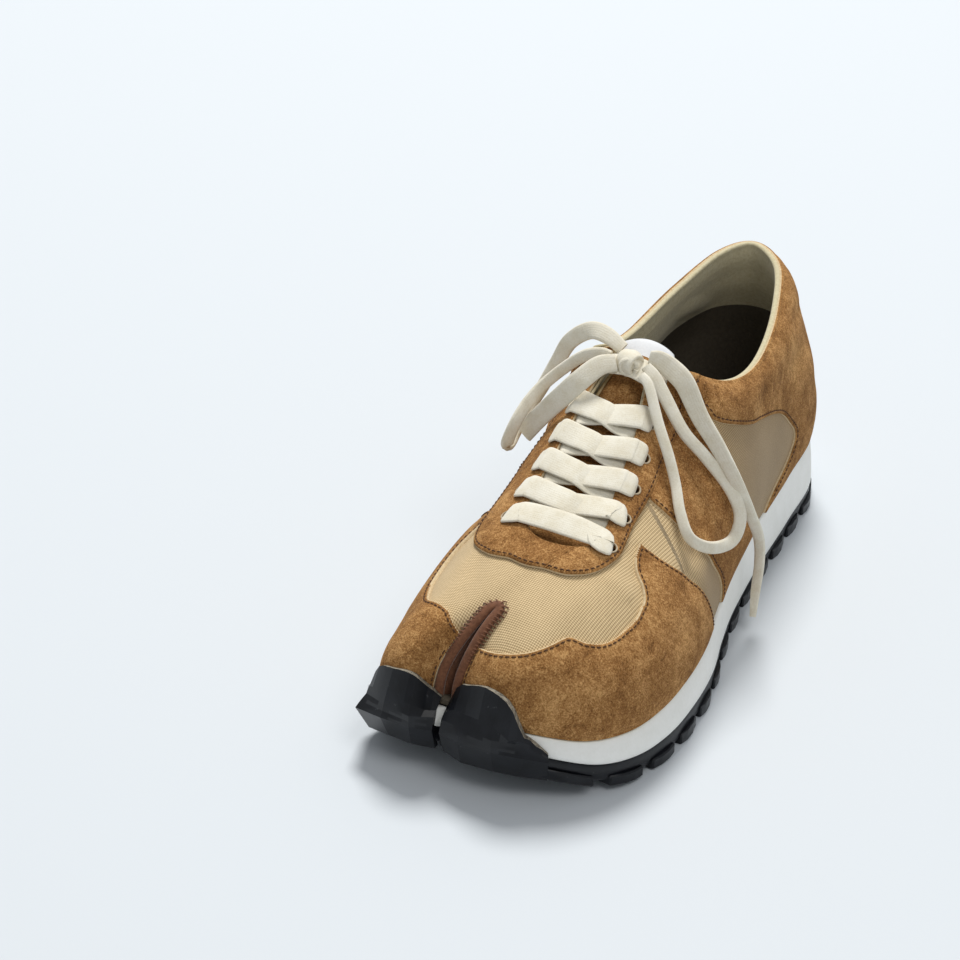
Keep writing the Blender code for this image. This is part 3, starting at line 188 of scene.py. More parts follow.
END_LATERAL = [
    (1.6, 6.6, 105.6, 10, 5.0), (5.4, 7.2, 105.0, 10, 7.0), (11.0, 6.4, 102.8, 10, 8.0),
    (17.0, 4.4, 99.4, 15, 7.8), (24.6, 1.0, 89.8, 15, 6.8), (33.4, -1.4, 80.4, 20, 6.0),
    (41.9, -2.6, 68.6, 20, 5.0), (45.4, 4.6, 52.6, 20, 4.4), (46.4, 14.0, 37.0, 20, 4.2),
    (47.4, 14.4, 26.0, 20, 4.0), (48.6, 9.0, 16.0, 20, 3.6), (49.9, 4.4, 8.0, 20, 2.4),
]
LOOP_MEDIAL = [
    (-10.6, 10.6, 104.2, 10, 5), (-17.9, 11.9, 107.4, 10, 6.5), (-25.0, 12.8, 107.2, 10, 6.8),
    (-33.0, 13.4, 100.6, 10, 6.4), (-37.6, 12.2, 91.2, 10, 5.6), (-41.8, 6.8, 80.4, 10, 5.0),
    (-44.6, -2.6, 72.6, 10, 5.0), (-45.2, -11.6, 66.4, 10, 4.8), (-43.6, -17.4, 70.0, 10, 4.8),
    (-41.6, -15.0, 77.6, 10, 4.6), (-39.6, -8.4, 83.6, 10, 4.6), (-36.3, -2.4, 88.8, 10, 4.5),
    (-30.1, 1.6, 95.4, 10, 4.5), (-22.9, 3.4, 101.6, 10, 4.6), (-16.8, 4.2, 103.6, 10, 4.8),
    (-12.8, 4.2, 103.4, 10, 4.4),
]
END_MEDIAL = [
    (-9.3, 1.0, 103.2, 10, 6.5), (-14.2, -3.0, 102.6, 10, 7.6), (-19.6, -9.0, 97.6, 10, 8),
    (-24.9, -11.0, 91.2, 10, 8), (-30.0, -10.8, 84.8, 10, 7.8), (-35.2, -10.5, 78.0, 10, 7.6),
    (-40.6, -9.3, 70.2, 10, 7.4),
]
TONGUE_SIDES = (0.0115, 0.006, 0.0)
TONGUE_DEPTH = UPPER_WALL + 0.0016
TONGUE_CROWN = 0.0012

# Looks: surface detail that the solids don't have
COLLAR_PAD = 0.0016
COLLAR_SHARE = 0.86
COLLAR_ROLL = 0.0008
LINING_WALL = 0.0010
RIB_STEPS = 12
SLIT_COLUMNS = 11
EDGE_STEP = 0.0010
RING_INSETS = (0.42, 0.85, 1.3, 1.9, 3.2)
PANEL_SCALE = (0.024, 0.075)
RIB_MARGIN = 0.02
LIP_MARGIN = 0.0024
TUCK = 0.030
PANEL_HEIGHT = 1.35
PANEL_SPACING = 0.0026
STITCH_INSET = 1.3
STITCH_LENGTH = 1.75
STITCH_RADIUS = 0.30
STITCH_PITCH = 2.3
FLAP_CLEAR = 0.0018
FLAP_COLUMNS = 17
FLAP_LEVELS = 6
LACE_FULL = 0.0100
LACE_BODY = 0.0013
LACE_STEPS = 7
LACE_UP = np.array([0, -0.35, 0.94])
FOLD_SHARE = 0.16
BINDING_ASIDE = 0.0010
BINDING_ABOVE = 0.0009
BINDING_WIDTH = 0.0036
BINDING_DEPTH = 0.0026
EYELET_POINTS = 20
EYELET_PUNCH = 0.85
RIM_RADIUS = 0.35
RIM_HEIGHT = 1.95
# A strip's way from its eyelet to the edge of the throat. Columns: share of the way, height (mm)
LACE_START = [(-0.05, 2.0), (0.22, 2.85), (0.48, 3.05), (0.74, 3.1), (1.0, 3.0)]

# Soft troughs of wear. Columns: start and end as rib position and share, depth and width (mm)
CREASES = [
    ((12.35, 0.50), (9.9, 0.90), 0.9, 5.0),
    ((15.2, 0.62), (17.0, 0.78), 0.8, 4.5),
    ((8.6, 0.86), (8.9, 0.66), 1.1, 5.0),
    ((9.3, 0.62), (9.9, 0.80), -0.7, 4.0),
    ((6.3, 0.50), (7.6, 0.36), 0.8, 4.0),
    ((5.7, 0.45), (6.6, 0.30), -0.6, 4.0),
    ((2.1, 0.88), (1.2, 0.74), 1.3, 3.5),
    ((1.5, 0.80), (0.7, 0.72), -0.6, 3.0),
    ((2.6, 0.72), (1.7, 0.58), 0.9, 5.0),
    ((3.3, 0.86), (3.9, 0.68), 0.8, 4.0),
    ((2.4, 0.40), (1.4, 0.30), 0.6, 5.0),
    ((24.9, 0.80), (25.8, 0.62), 1.0, 4.0),
    ((23.2, 0.70), (24.2, 0.52), 0.8, 5.0),
    ((18.3, 0.60), (19.6, 0.42), 0.9, 4.5),
    ((10.6, 0.34), (11.8, 0.28), 0.5, 5.0),
    ((7.5, 0.24), (8.7, 0.30), 0.6, 4.5),
    ((16.2, 0.36), (17.3, 0.30), 0.5, 5.0),
]

# Camera at the photograph's angle
CAMERA_AZIMUTH = 25.6
CAMERA_ELEVATION = 31.0
CAMERA_ROLL = 1.14
CAMERA_DISTANCE = 1.06
CAMERA_LENS = 2763 / 960 * 36
CAMERA_TARGET = (-0.0620, -0.0019, 0.040)

# Studio. Lights: name, place, size, power, colour, target
FLOOR_COLOUR = (0.615, 0.653, 0.690)
WORLD_COLOUR = (0.94, 0.97, 1.0)
WORLD_STRENGTH = 0.39
LIGHTS = [
    ("key", (-0.75, 1.55, 3.1), 1.2, 119.0, (1.0, 0.99, 0.965), (0, 0, 0.03)),
    ("fill", (1.3, -0.9, 2.5), 1.3, 17.0, (1.0, 0.99, 0.97), (0, 0, 0.03)),
]


def cubic(t, start, end, leave, arrive):
    """Cubic between two values with a slope at each."""
    near = (2 * t**3 - 3 * t**2 + 1) * start + (t**3 - 2 * t**2 + t) * leave
    return near + (3 * t**2 - 2 * t**3) * end + (t**3 - t**2) * arrive


def smooth_curve(at, value, x, steady=False):
    """Cubic curve through the values, read at x. A steady one doesn't swing past its points."""
    at, value = np.asarray(at, float), np.asarray(value, float)
    slope = np.gradient(value, at)
    if steady:
        steps = np.diff(value) / np.diff(at)
        limit = 3 * np.minimum(np.abs(np.append(steps[0], steps)), np.abs(np.append(steps, steps[-1])))
        slope = np.clip(slope, -limit, limit)
    x = np.clip(x, at[0], at[-1])
    i = np.clip(np.searchsorted(at, x) - 1, 0, len(at) - 2)
    h = at[i + 1] - at[i]
    return cubic((x - at[i]) / h, value[i], value[i + 1], h * slope[i], h * slope[i + 1])


def smoothstep(a, b, x):
    t = np.clip((x - a) / (b - a), 0, 1)
    return t * t * (3 - 2 * t)


def unit(v):
    return v / np.linalg.norm(v, axis=-1, keepdims=True)


def run_along(points):
    """Distance from the first point to each point of a line."""
    return np.append(0, np.cumsum(np.linalg.norm(np.diff(points, axis=0), axis=1)))


def y_of(station):
    return LENGTH * (0.5 - station) + CENTRE_SHIFT


def station_of(y):
    return 0.5 - (y - CENTRE_SHIFT) / LENGTH


def profile(column, station):
    stations = [row[1] for row in SOLE_PROFILE]
    return smooth_curve(stations, [row[column] for row in SOLE_PROFILE], station)


def ground(station):
    return TOE_SPRING * np.maximum(profile(2, station), 0)


def join(station):
    return ground(station) + OUTSOLE_THICKNESS * profile(3, station)


def feather(station):
    return join(station) + MIDSOLE_HEEL * profile(4, station)


def rib_table():
    rows = np.array([row[1:] for row in RIBS], float)
    rows[:, 0] = y_of(rows[:, 0])
    rows[:, 1] *= BALL_WIDTH
    rows[MOUTH_L, 1] += CLEFT_GAP / 2
    rows[MOUTH_M, 1] -= CLEFT_GAP / 2
    return rows


def rib_values(rib):
    """Every column of the rib table at fractional rib positions, on a closed smooth curve."""
    table = rib_table()
    chord = np.linalg.norm(np.roll(table[:, :2], -1, 0) - table[:, :2], axis=1) ** 0.5
    rib = np.mod(rib, RIB_COUNT)
    i = np.floor(rib).astype(int) % RIB_COUNT
    t = (rib - np.floor(rib))[..., None]
    before, start = table[i - 1], table[i]
    end, after = table[(i + 1) % RIB_COUNT], table[(i + 2) % RIB_COUNT]
    d0, d1, d2 = (chord[k][..., None] for k in (i - 1, i, (i + 1) % RIB_COUNT))
    leave = ((start - before) / d0 - (end - before) / (d0 + d1) + (end - start) / d1) * d1
    arrive = ((end - start) / d1 - (after - start) / (d1 + d2) + (after - end) / d2) * d1
    return cubic(t, start, end, leave, arrive)


def sole_line(rib):
    """Plan outline of the sole, with its outward normal."""
    here = rib_values(rib)[..., 1::-1]
    along = rib_values(rib + 0.02)[..., 1::-1] - rib_values(rib - 0.02)[..., 1::-1]
    return here, unit(np.stack([-along[..., 1], along[..., 0]], -1))


def with_height(plan, height):
    return np.concatenate([plan, np.broadcast_to(height, plan.shape[:-1])[..., None]], -1)


def base_skin(rib, share):
    """Outer face of the upper before the toes are parted."""
    _, _, inset, rise, belly, station, x, height, reach, drop = np.moveaxis(rib_values(rib), -1, 0)
    line, outward = sole_line(rib)
    foot = line - outward * (inset * FEATHER_INSET)[..., None]
    start = with_height(foot, feather(station_of(foot[..., 1])))
    top = feather(station) + height * UPPER_HEIGHT
    end = np.stack([x * BALL_WIDTH, y_of(station), top], -1)
    out = unit((start - end)[..., :2])
    low = start + with_height(out * (belly * BALL_WIDTH)[..., None], rise * UPPER_HEIGHT)
    high = end + with_height(out * (reach * BALL_WIDTH)[..., None], -drop * UPPER_HEIGHT)
    t = np.asarray(share)[..., None]
    lower = (1 - t) ** 3 * start + 3 * (1 - t) ** 2 * t * low
    return lower + 3 * (1 - t) * t**2 * high + t**3 * end


def skin_normal(rib, share, step=0.01):
    along = base_skin(rib + step, share) - base_skin(rib - step, share)
    up = base_skin(rib, np.minimum(share + step, 1)) - base_skin(rib, np.maximum(share - step, 0))
    return unit(np.cross(up, along))


def skin(rib, share):
    """Outer face of the upper, with the soft valley that runs down between the two toes."""
    rib, share = np.broadcast_arrays(np.asarray(rib, float), np.asarray(share, float))
    place = base_skin(rib, share)
    lip = base_skin(np.clip(rib, MOUTH_L, MOUTH_M), share)
    away = np.linalg.norm(place - lip, axis=-1)
    depth = VALLEY_DEPTH * np.exp(-((away / VALLEY_WIDTH) ** 2))
    depth = depth * (1 - smoothstep(0.25, CLEFT_TOP + 0.12, share))
    depth = depth * smoothstep(3.2, 2.6, np.abs(rib - (MOUTH_L + MOUTH_M) / 2))
    return place - skin_normal(rib, share) * depth[..., None]


def mirrored(rib):
    return RIB_COUNT - rib


def from_heel(rib):
    """How many ribs away the middle of the heel is."""
    return np.abs(np.mod(rib + RIB_COUNT / 2, RIB_COUNT) - RIB_COUNT / 2)


def lip_rib(distance, side):
    """Rib position at a distance from the slit, on its outer (+1) or inner (-1) side."""
    lip = MOUTH_L if side > 0 else MOUTH_M
    spacing = np.linalg.norm(skin(lip, 0.3) - skin(lip - side, 0.3))
    return lip - side * distance / spacing


def rib_at(y, side):
    """Rib position of the sole line at y, on the outer (+1) or inner (-1) side."""
    ribs = np.linspace(0.2, 12.2, 400) if side > 0 else np.linspace(26.8, 15.2, 400)
    line, _ = sole_line(ribs)
    return np.interp(-y, -line[:, 1], ribs)


def throat_rib(y, side):
    """Rib position where the throat's edge is at y, on the outer (+1) or inner (-1) side."""
    ribs = np.linspace(6, 13, 300) if side > 0 else np.linspace(21, 14, 300)
    return float(np.interp(-y, -skin(ribs, 1.0)[:, 1], ribs))


def share_below(rib, distance):
    """Share whose point lies this far down the rib from the opening."""
    shares = np.linspace(1, 0.4, 200)
    return float(np.interp(distance, run_along(skin(rib, shares)), shares))


def on_skin(rib, share, above):
    return skin(rib, share) + skin_normal(rib, np.asarray(share, float)) * above


def tongue_row(y):
    """Top face of the tongue across the throat, from the inner side to the outer side."""
    edges = {}
    for side in (-1, 1):
        rib = throat_rib(y, side)
        edges[side] = [on_skin(rib, share_below(rib, d), -TONGUE_DEPTH) for d in TONGUE_SIDES]
    left, right = edges[-1][-1], edges[1][-1]
    middle = []
    for t in (0.25, 0.5, 0.75):
        crown = TONGUE_CROWN * (1 - (2 * t - 1) ** 2)
        middle.append(left + (right - left) * t + np.array([0, 0, crown]))
    return np.array([*edges[-1], *middle, *edges[1][::-1]])


def tongue_front():
    """First row of the tongue, tucked under the front of the throat."""
    ribs = (17.1, 16.4, 15.8, 15.0, 13.5, 12.2, 11.5, 10.9, 10.3)
    return np.array([on_skin(r, share_below(r, 0.010), -TONGUE_DEPTH) for r in ribs])


def tongue_top(row):
    """A free row of the tongue above the throat."""
    _, y, x, half, z, droop = row
    across = np.linspace(-1, 1, 9)
    return np.stack([x + across * half, np.full(9, y), z - droop * across**2], -1)


def eyelet(row, side):
    """Rib position and share of one eyelet."""
    rib = throat_rib(EYELET_FIRST + row * EYELET_PITCH, side)
    return rib, share_below(rib, EYELET_INSET)


def edge_share(table, rib):
    ribs, shares = np.array(table).T
    return smooth_curve(ribs, shares, rib, steady=True)


def edge_rib(table, share):
    ribs, shares = np.array(table).T
    return smooth_curve(shares, ribs, share, steady=True)


# Surface with its padding and creases


def swell(rib, share, place):
    """How far the padded collar and the creases stand off the last's own surface."""
    padded = smoothstep(5.6, 4.2, from_heel(rib))
    rise = COLLAR_PAD * np.exp(-(((share - COLLAR_SHARE) / 0.12) ** 2)) * padded
    rise = rise - COLLAR_ROLL * smoothstep(0.93, 1.0, share) * padded
    for a, b, depth, width in CREASE_LINES:
        span = b - a
        t = np.clip(((place - a) @ span) / (span @ span), 0, 1)
        away = np.linalg.norm(place - (a + t[..., None] * span), axis=-1)
        rise = rise - depth * MM * np.exp(-((away / (width * MM)) ** 2)) * (1 - (2 * t - 1) ** 4 * 0.8)
    return rise


CREASE_LINES = [(skin(*start), skin(*end), depth, width) for start, end, depth, width in CREASES]


def surface(rib, share):
    """Place and normal on the finished outer face."""
    rib, share = np.broadcast_arrays(np.asarray(rib, float), np.asarray(share, float))
    place = skin(rib, share)
    normal = skin_normal(rib, share)
    return place + normal * swell(rib, share, place)[..., None], normal


# Meshes


def add_object(name, data):
    obj = bpy.data.objects.new(name, data)
    bpy.context.scene.collection.objects.link(obj)
    return obj


def make_mesh(name, points, faces, looks, indices=None, cloth=None, smooth=50):
    """A mesh object with its materials and its cloth coordinates."""
    mesh = bpy.data.meshes.new(name)
    mesh.from_pydata([tuple(map(float, p)) for p in points], [], [list(map(int, f)) for f in faces])
    for look in looks:
        mesh.materials.append(look)
    if indices is not None:
        mesh.polygons.foreach_set("material_index", list(map(int, indices)))
    if cloth is not None:
        attribute = mesh.attributes.new("cloth", "FLOAT_VECTOR", "POINT")
        flat = np.zeros((len(points), 3), np.float32)
        flat[:, : np.shape(cloth)[1]] = cloth
        attribute.data.foreach_set("vector", flat.ravel())
    shape = bmesh.new()
    shape.from_mesh(mesh)
    bmesh.ops.recalc_face_normals(shape, faces=shape.faces)
    shape.to_mesh(mesh)
    shape.free()
    if smooth:
        mesh.polygons.foreach_set("use_smooth", [True] * len(mesh.polygons))
        mesh.set_sharp_from_angle(angle=math.radians(smooth))
    return add_object(name, mesh)


def ride(obj, look, *replaced):
    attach(obj, "root")
    if replaced:
        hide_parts(*replaced)
    return obj


def grid_faces(rows, columns, close_rows=False, close_columns=False):
    faces = []
    for row in range(rows if close_rows else rows - 1):
        for column in range(columns if close_columns else columns - 1):
            up, right = (row + 1) % rows, (column + 1) % columns
            faces.append([row * columns + column, up * columns + column,
                          up * columns + right, row * columns + right])
    return faces


def closed_sheet(count, columns):
    """Front, back and edge faces of a sheet whose back repeats the grid of its front."""
    number = np.arange(count * columns).reshape(count, columns)
    rim = np.concatenate([number[0, :-1], number[:-1, -1], number[-1, :0:-1], number[:0:-1, 0]])
    total = count * columns
    front = grid_faces(count, columns)
    back = [[i + total for i in reversed(face)] for face in front]
    return front, back, [[a, b, b + total, a + total] for a, b in zip(rim, np.roll(rim, -1))]


def open_edges(faces):
    """Directed edges that only one of the faces has."""
    edges = {(a, b) for face in faces for a, b in zip(face, face[1:] + face[:1])}
    return [(a, b) for a, b in edges if (b, a) not in edges]


def grid_normals(grid, close_columns):
    """Smooth normals of a grid of points."""
    across = np.roll(grid, -1, 1) - np.roll(grid, 1, 1)
    if not close_columns:
        across[:, 0] = grid[:, 1] - grid[:, 0]
        across[:, -1] = grid[:, -1] - grid[:, -2]
    return unit(np.cross(np.gradient(grid, axis=0), across))


def catmull(points, count):
    """Smooth curve through rows of values, with count steps between two of them."""
    points = np.asarray(points, float)
    padded = np.concatenate([[2 * points[0] - points[1]], points, [2 * points[-1] - points[-2]]])
    made = []
    for i in range(1, len(points)):
        before, start, end, after = padded[i - 1 : i + 3]
        for t in np.arange(count) / count:
            made.append(cubic(t, start, end, (end - before) / 2, (after - start) / 2))
    made.append(points[-1])
    return np.array(made)


# Materials


def add(tree, kind, inputs=(), **settings):
    made = tree.nodes.new(kind)
    for key, value in settings.items():
        setattr(made, key, value)
    for key, value in dict(inputs).items():
        if isinstance(value, bpy.types.NodeSocket):
            tree.links.new(value, made.inputs[key])
        else:
            made.inputs[key].default_value = value
    return made


def new_look(name, roughness, specular=0.3, sheen=0.0, coat=0.0, sheen_tint=(1, 1, 1)):
    look = bpy.data.materials.new(name)
    look.use_nodes = True
    shader = look.node_tree.nodes["Principled BSDF"]
    shader.inputs["Roughness"].default_value = roughness
    shader.inputs["Specular IOR Level"].default_value = specular
    shader.inputs["Sheen Weight"].default_value = sheen
    shader.inputs["Sheen Roughness"].default_value = 0.45
    shader.inputs["Sheen Tint"].default_value = (*sheen_tint, 1)
    shader.inputs["Coat Weight"].default_value = coat
    return look, look.node_tree, shader


def noise(tree, coordinates, size, detail=3, rough=0.55, distortion=0.0):
    """Noise whose features are about this many millimetres across."""
    return add(tree, "ShaderNodeTexNoise", {
        "Vector": coordinates, "Scale": 1 / (size * MM), "Detail": detail,
        "Roughness": rough, "Distortion": distortion}).outputs["Fac"]


def ramp(tree, value, stops):
    """Colour ramp. Stops hold a position and a linear colour."""
    made = add(tree, "ShaderNodeValToRGB", {"Fac": value})
    ends = made.color_ramp.elements
    while len(ends) < len(stops):
        ends.new(0.5)
    for end, (at, colour) in zip(ends, stops):
        end.position = at
        end.color = (*colour, 1)
    return made.outputs["Color"]


def maths(tree, operation, first, second=0.0):
    return add(tree, "ShaderNodeMath", {0: first, 1: second}, operation=operation).outputs[0]


def mix(tree, share, first, second, kind="MIX"):
    made = add(tree, "ShaderNodeMix", data_type="RGBA", blend_type=kind)
    for socket, value in ((made.inputs[0], share), (made.inputs[6], first), (made.inputs[7], second)):
        if isinstance(value, bpy.types.NodeSocket):
            tree.links.new(value, socket)
        elif socket.type == "RGBA":
            socket.default_value = (*value, 1)
        else:
            socket.default_value = value
    return made.outputs[2]


def weighted(tree, *parts):
    """Sum of values, each times its share."""
    total = None
    for value, share in parts:
        part = maths(tree, "MULTIPLY", value, share)
        total = part if total is None else maths(tree, "ADD", total, part)
    return total


def bump(tree, shader, *layers):
    """Bumps on top of each other. Each layer is a height and its depth in millimetres."""
    normal = None
    for height, depth in layers:
        inputs = {"Height": height, "Distance": depth * MM, "Strength": 1.0}
        if normal is not None:
            inputs["Normal"] = normal
        normal = add(tree, "ShaderNodeBump", inputs).outputs["Normal"]
    tree.links.new(normal, shader.inputs["Normal"])


def object_space(tree):
    return add(tree, "ShaderNodeTexCoord").outputs["Object"]


def suede_look(name, dark, middle, light):
    """Mottled nap with a fine speckle."""
    look, tree, shader = new_look(name, 0.95, 0.08, sheen=0.10, sheen_tint=(0.95, 0.70, 0.42))
    space = object_space(tree)
    clouds = noise(tree, space, 16, 3, 0.55, 0.6)
    nap = noise(tree, space, 4.0, 4, 0.65, 1.2)
    grain = noise(tree, space, 0.62, 3, 0.8)
    fibres = noise(tree, space, 0.30, 2, 0.6)
    tone = weighted(tree, (clouds, 0.26), (nap, 0.26), (grain, 0.48))
    colour = ramp(tree, tone, ((0.38, dark), (0.495, middle), (0.60, light)))
    tree.links.new(colour, shader.inputs["Base Color"])
    bump(tree, shader, (nap, 0.45), (grain, 0.50), (fibres, 0.18))
    return look


def canvas_look(name, dark, light, pitch):
    """A plain weave at a slant, mottled, with painted shade that darkens the cloth where it stands
    upright.
    """
    look, tree, shader = new_look(name, 0.75, 0.25, sheen=0.15)
    cloth = add(tree, "ShaderNodeAttribute", attribute_name="cloth").outputs["Vector"]
    turned = add(tree, "ShaderNodeVectorRotate", {"Vector": cloth, "Angle": math.radians(38)},
                 rotation_type="Z_AXIS").outputs["Vector"]
    parts = add(tree, "ShaderNodeSeparateXYZ", {"Vector": turned})
    turn = math.pi / pitch
    across = maths(tree, "SINE", maths(tree, "MULTIPLY", parts.outputs["X"], turn))
    along = maths(tree, "SINE", maths(tree, "MULTIPLY", parts.outputs["Y"], turn))
    weave = maths(tree, "MULTIPLY", across, along)
    height = maths(tree, "MULTIPLY_ADD", weave, 0.5)
    height.node.inputs[2].default_value = 0.5
    space = object_space(tree)
    slub = noise(tree, space, 1.1, 3, 0.6)
    clouds = noise(tree, space, 18, 2)
    colour = mix(tree, height, dark, light)
    shade = ramp(tree, weighted(tree, (slub, 0.5), (clouds, 0.5)),
                 ((0.3, (0.80, 0.79, 0.77)), (0.7, (1.0, 1.0, 1.0))))
    colour = mix(tree, 1.0, colour, shade, "MULTIPLY")
    # Painted shade: the colour is multiplied by about 0.6 where the cloth stands upright and by 1.0 where
    # it faces up, standing in for the shade on the sides.
    normal = add(tree, "ShaderNodeTexCoord").outputs["Normal"]
    upward = add(tree, "ShaderNodeSeparateXYZ", {"Vector": normal}).outputs["Z"]
    painted_side_shade = ramp(tree, upward, ((0.30, (0.60, 0.555, 0.50)), (0.72, (1.0, 1.0, 1.0))))
    colour = mix(tree, 1.0, colour, painted_side_shade, "MULTIPLY")
    tree.links.new(colour, shader.inputs["Base Color"])
    bump(tree, shader, (height, 0.16), (slub, 0.05))
    return look


def lace_look():
    """Flat knit with slanting rows."""
    look, tree, shader = new_look("lace", 0.85, 0.15, sheen=0.25)
    cloth = add(tree, "ShaderNodeAttribute", attribute_name="cloth").outputs["Vector"]
    parts = add(tree, "ShaderNodeSeparateXYZ", {"Vector": cloth})
    slant = maths(tree, "ADD", parts.outputs["X"], maths(tree, "ABSOLUTE", parts.outputs["Y"]))
    rows = maths(tree, "SINE", maths(tree, "MULTIPLY", slant, 2 * math.pi / 0.8))
    lines = maths(tree, "SINE", maths(tree, "MULTIPLY", parts.outputs["Y"], 2 * math.pi / 0.9))
    knit = maths(tree, "MULTIPLY", maths(tree, "ADD", rows, lines), 0.25)
    space = object_space(tree)
    fluff = noise(tree, space, 0.7, 4, 0.7)
    clouds = noise(tree, space, 6, 2)
    tone = weighted(tree, (fluff, 0.5), (clouds, 0.5))
    tree.links.new(ramp(tree, tone, ((0.35, (0.69, 0.63, 0.49)), (0.6, (0.80, 0.76, 0.65)))),
                   shader.inputs["Base Color"])
    bump(tree, shader, (knit, 0.05), (fluff, 0.14))
    return look


def plain_look(name, roughness, dark, light, size, depth, specular=0.3, sheen=0.0, coat=0.0):
    """A mottled surface with one coarse and one fine grain."""
    look, tree, shader = new_look(name, roughness, specular, sheen, coat)
    space = object_space(tree)
    coarse = noise(tree, space, size, 3, 0.6)
    fine = noise(tree, space, size / 7, 3, 0.6)
    tone = weighted(tree, (coarse, 0.6), (fine, 0.4))
    tree.links.new(ramp(tree, tone, ((0.35, dark), (0.65, light))), shader.inputs["Base Color"])
    rough = add(tree, "ShaderNodeMapRange", {
        "Value": fine, "To Min": roughness - 0.08, "To Max": min(roughness + 0.08, 1)})
    tree.links.new(rough.outputs[0], shader.inputs["Roughness"])
    bump(tree, shader, (coarse, depth), (fine, depth / 2))
    return look


def rubber_look():
    """Black rubber with a worn sheen and small pale scuffs."""
    look, tree, shader = new_look("rubber", 0.34, 0.34)
    space = object_space(tree)
    coarse, fine = noise(tree, space, 7, 3), noise(tree, space, 0.6, 3)
    base = ramp(tree, coarse, ((0.35, (0.0028, 0.0034, 0.0050)), (0.65, (0.0068, 0.0080, 0.0112))))
    stretched = add(tree, "ShaderNodeMapping", {"Vector": space, "Rotation": (0.3, 0.5, 0.9),
                                                "Scale": (1, 3.5, 1)}).outputs["Vector"]
    scuff = noise(tree, stretched, 4, 4, 0.75)
    scuff = add(tree, "ShaderNodeMapRange", {
        "Value": scuff, "From Min": 0.655, "From Max": 0.70}).outputs[0]
    colour = mix(tree, maths(tree, "MULTIPLY", scuff, 0.30), base, (0.13, 0.135, 0.14))
    tree.links.new(colour, shader.inputs["Base Color"])
    rough = add(tree, "ShaderNodeMapRange", {"Value": coarse, "To Min": 0.26, "To Max": 0.42})
    tree.links.new(rough.outputs[0], shader.inputs["Roughness"])
    bump(tree, shader, (coarse, 0.05), (fine, 0.02))
    return look


# Columns: name, roughness, dark and light colour, grain size and bump depth (mm), specular, sheen
PLAIN_LOOKS = [
    ("lining", 0.9, (0.52, 0.45, 0.27), (0.66, 0.60, 0.42), 1.2, 0.15, 0.3, 0.2),
    # The dark inside finish colours the insole, and on the lining deep in the shoe it is painted shade.
    ("inside", 0.9, (0.085, 0.070, 0.050), (0.120, 0.100, 0.072), 1.5, 0.1),
    ("foam", 0.55, (0.84, 0.84, 0.80), (0.90, 0.90, 0.87), 9, 0.05, 0.35),
    ("worn", 0.7, (0.010, 0.010, 0.011), (0.42, 0.38, 0.30), 1.6, 0.10),
    ("binding", 0.75, (0.110, 0.040, 0.018), (0.215, 0.088, 0.040), 1.2, 0.15, 0.25, 0.3),
    ("cut_edge", 0.85, (0.50, 0.37, 0.20), (0.72, 0.58, 0.38), 0.8, 0.1),
    ("thread", 0.7, (0.060, 0.026, 0.010), (0.120, 0.055, 0.022), 0.5, 0.05),
    ("label", 0.6, (0.66, 0.67, 0.69), (0.73, 0.74, 0.76), 1.0, 0.05),
    ("gold", 0.5, (0.42, 0.30, 0.12), (0.66, 0.52, 0.28), 0.7, 0.1, 0.5),
    ("eyelet", 0.45, (0.36, 0.28, 0.18), (0.55, 0.46, 0.32), 0.8, 0.05, 0.5),
]
LOOKS = {
    "suede": suede_look("suede", (0.130, 0.054, 0.016), (0.360, 0.172, 0.056), (0.680, 0.390, 0.155)),
    "canvas": canvas_look("canvas", (0.330, 0.215, 0.095), (0.900, 0.700, 0.415), 0.60),
    "rubber": rubber_look(),
    "lace": lace_look(),
    **{row[0]: plain_look(*row) for row in PLAIN_LOOKS},
}


# Upper


def slit_columns(shares, grid):
    """Grid columns of the slit's wall, from its outer lip round its end to the inner lip."""
    outer_lip, inner_lip = grid[:, -1], grid[:, 0]
    middle = (outer_lip + inner_lip) / 2
    at = int(np.argmin(np.abs(shares - CLEFT_TOP)))
    top = middle[at]
    run = (y_of(CLEFT_END) - middle[0, 1]) / (top - middle[0])[1]
    bottom = np.array([middle[0, 0] + (top - middle[0])[0] * run, y_of(CLEFT_END), feather(CLEFT_END)])
    columns = []
    for k in range(1, SLIT_COLUMNS + 1):
        turn = math.pi * k / (SLIT_COLUMNS + 1)
        share = shares[:, None] / CLEFT_TOP
        end = bottom + (top - bottom) * share
        wall = middle + (end - middle) * math.sin(turn) + (outer_lip - inner_lip) / 2 * math.cos(turn)
        flat = outer_lip + (inner_lip - outer_lip) * k / (SLIT_COLUMNS + 1)
        columns.append(np.where(shares[:, None] < CLEFT_TOP - 1e-6, wall, flat))
    return np.stack(columns, 1)


def cloth_coordinates(ribs, places):
    """Weave coordinates in millimetres: from above on the toe, and from the side elsewhere."""
    flat = places * 1000
    toe = (ribs > 7.4) & (ribs < 19.6)
    first = np.where(toe, flat[..., 0], flat[..., 1])
    second = np.where(toe, -flat[..., 1] * 1.1, flat[..., 2] * 1.1)
    return np.stack([first, second], -1)


def upper_shares():
    return np.unique(np.concatenate([np.linspace(0, CLEFT_TOP, 32), np.linspace(CLEFT_TOP, 1, 24)]))


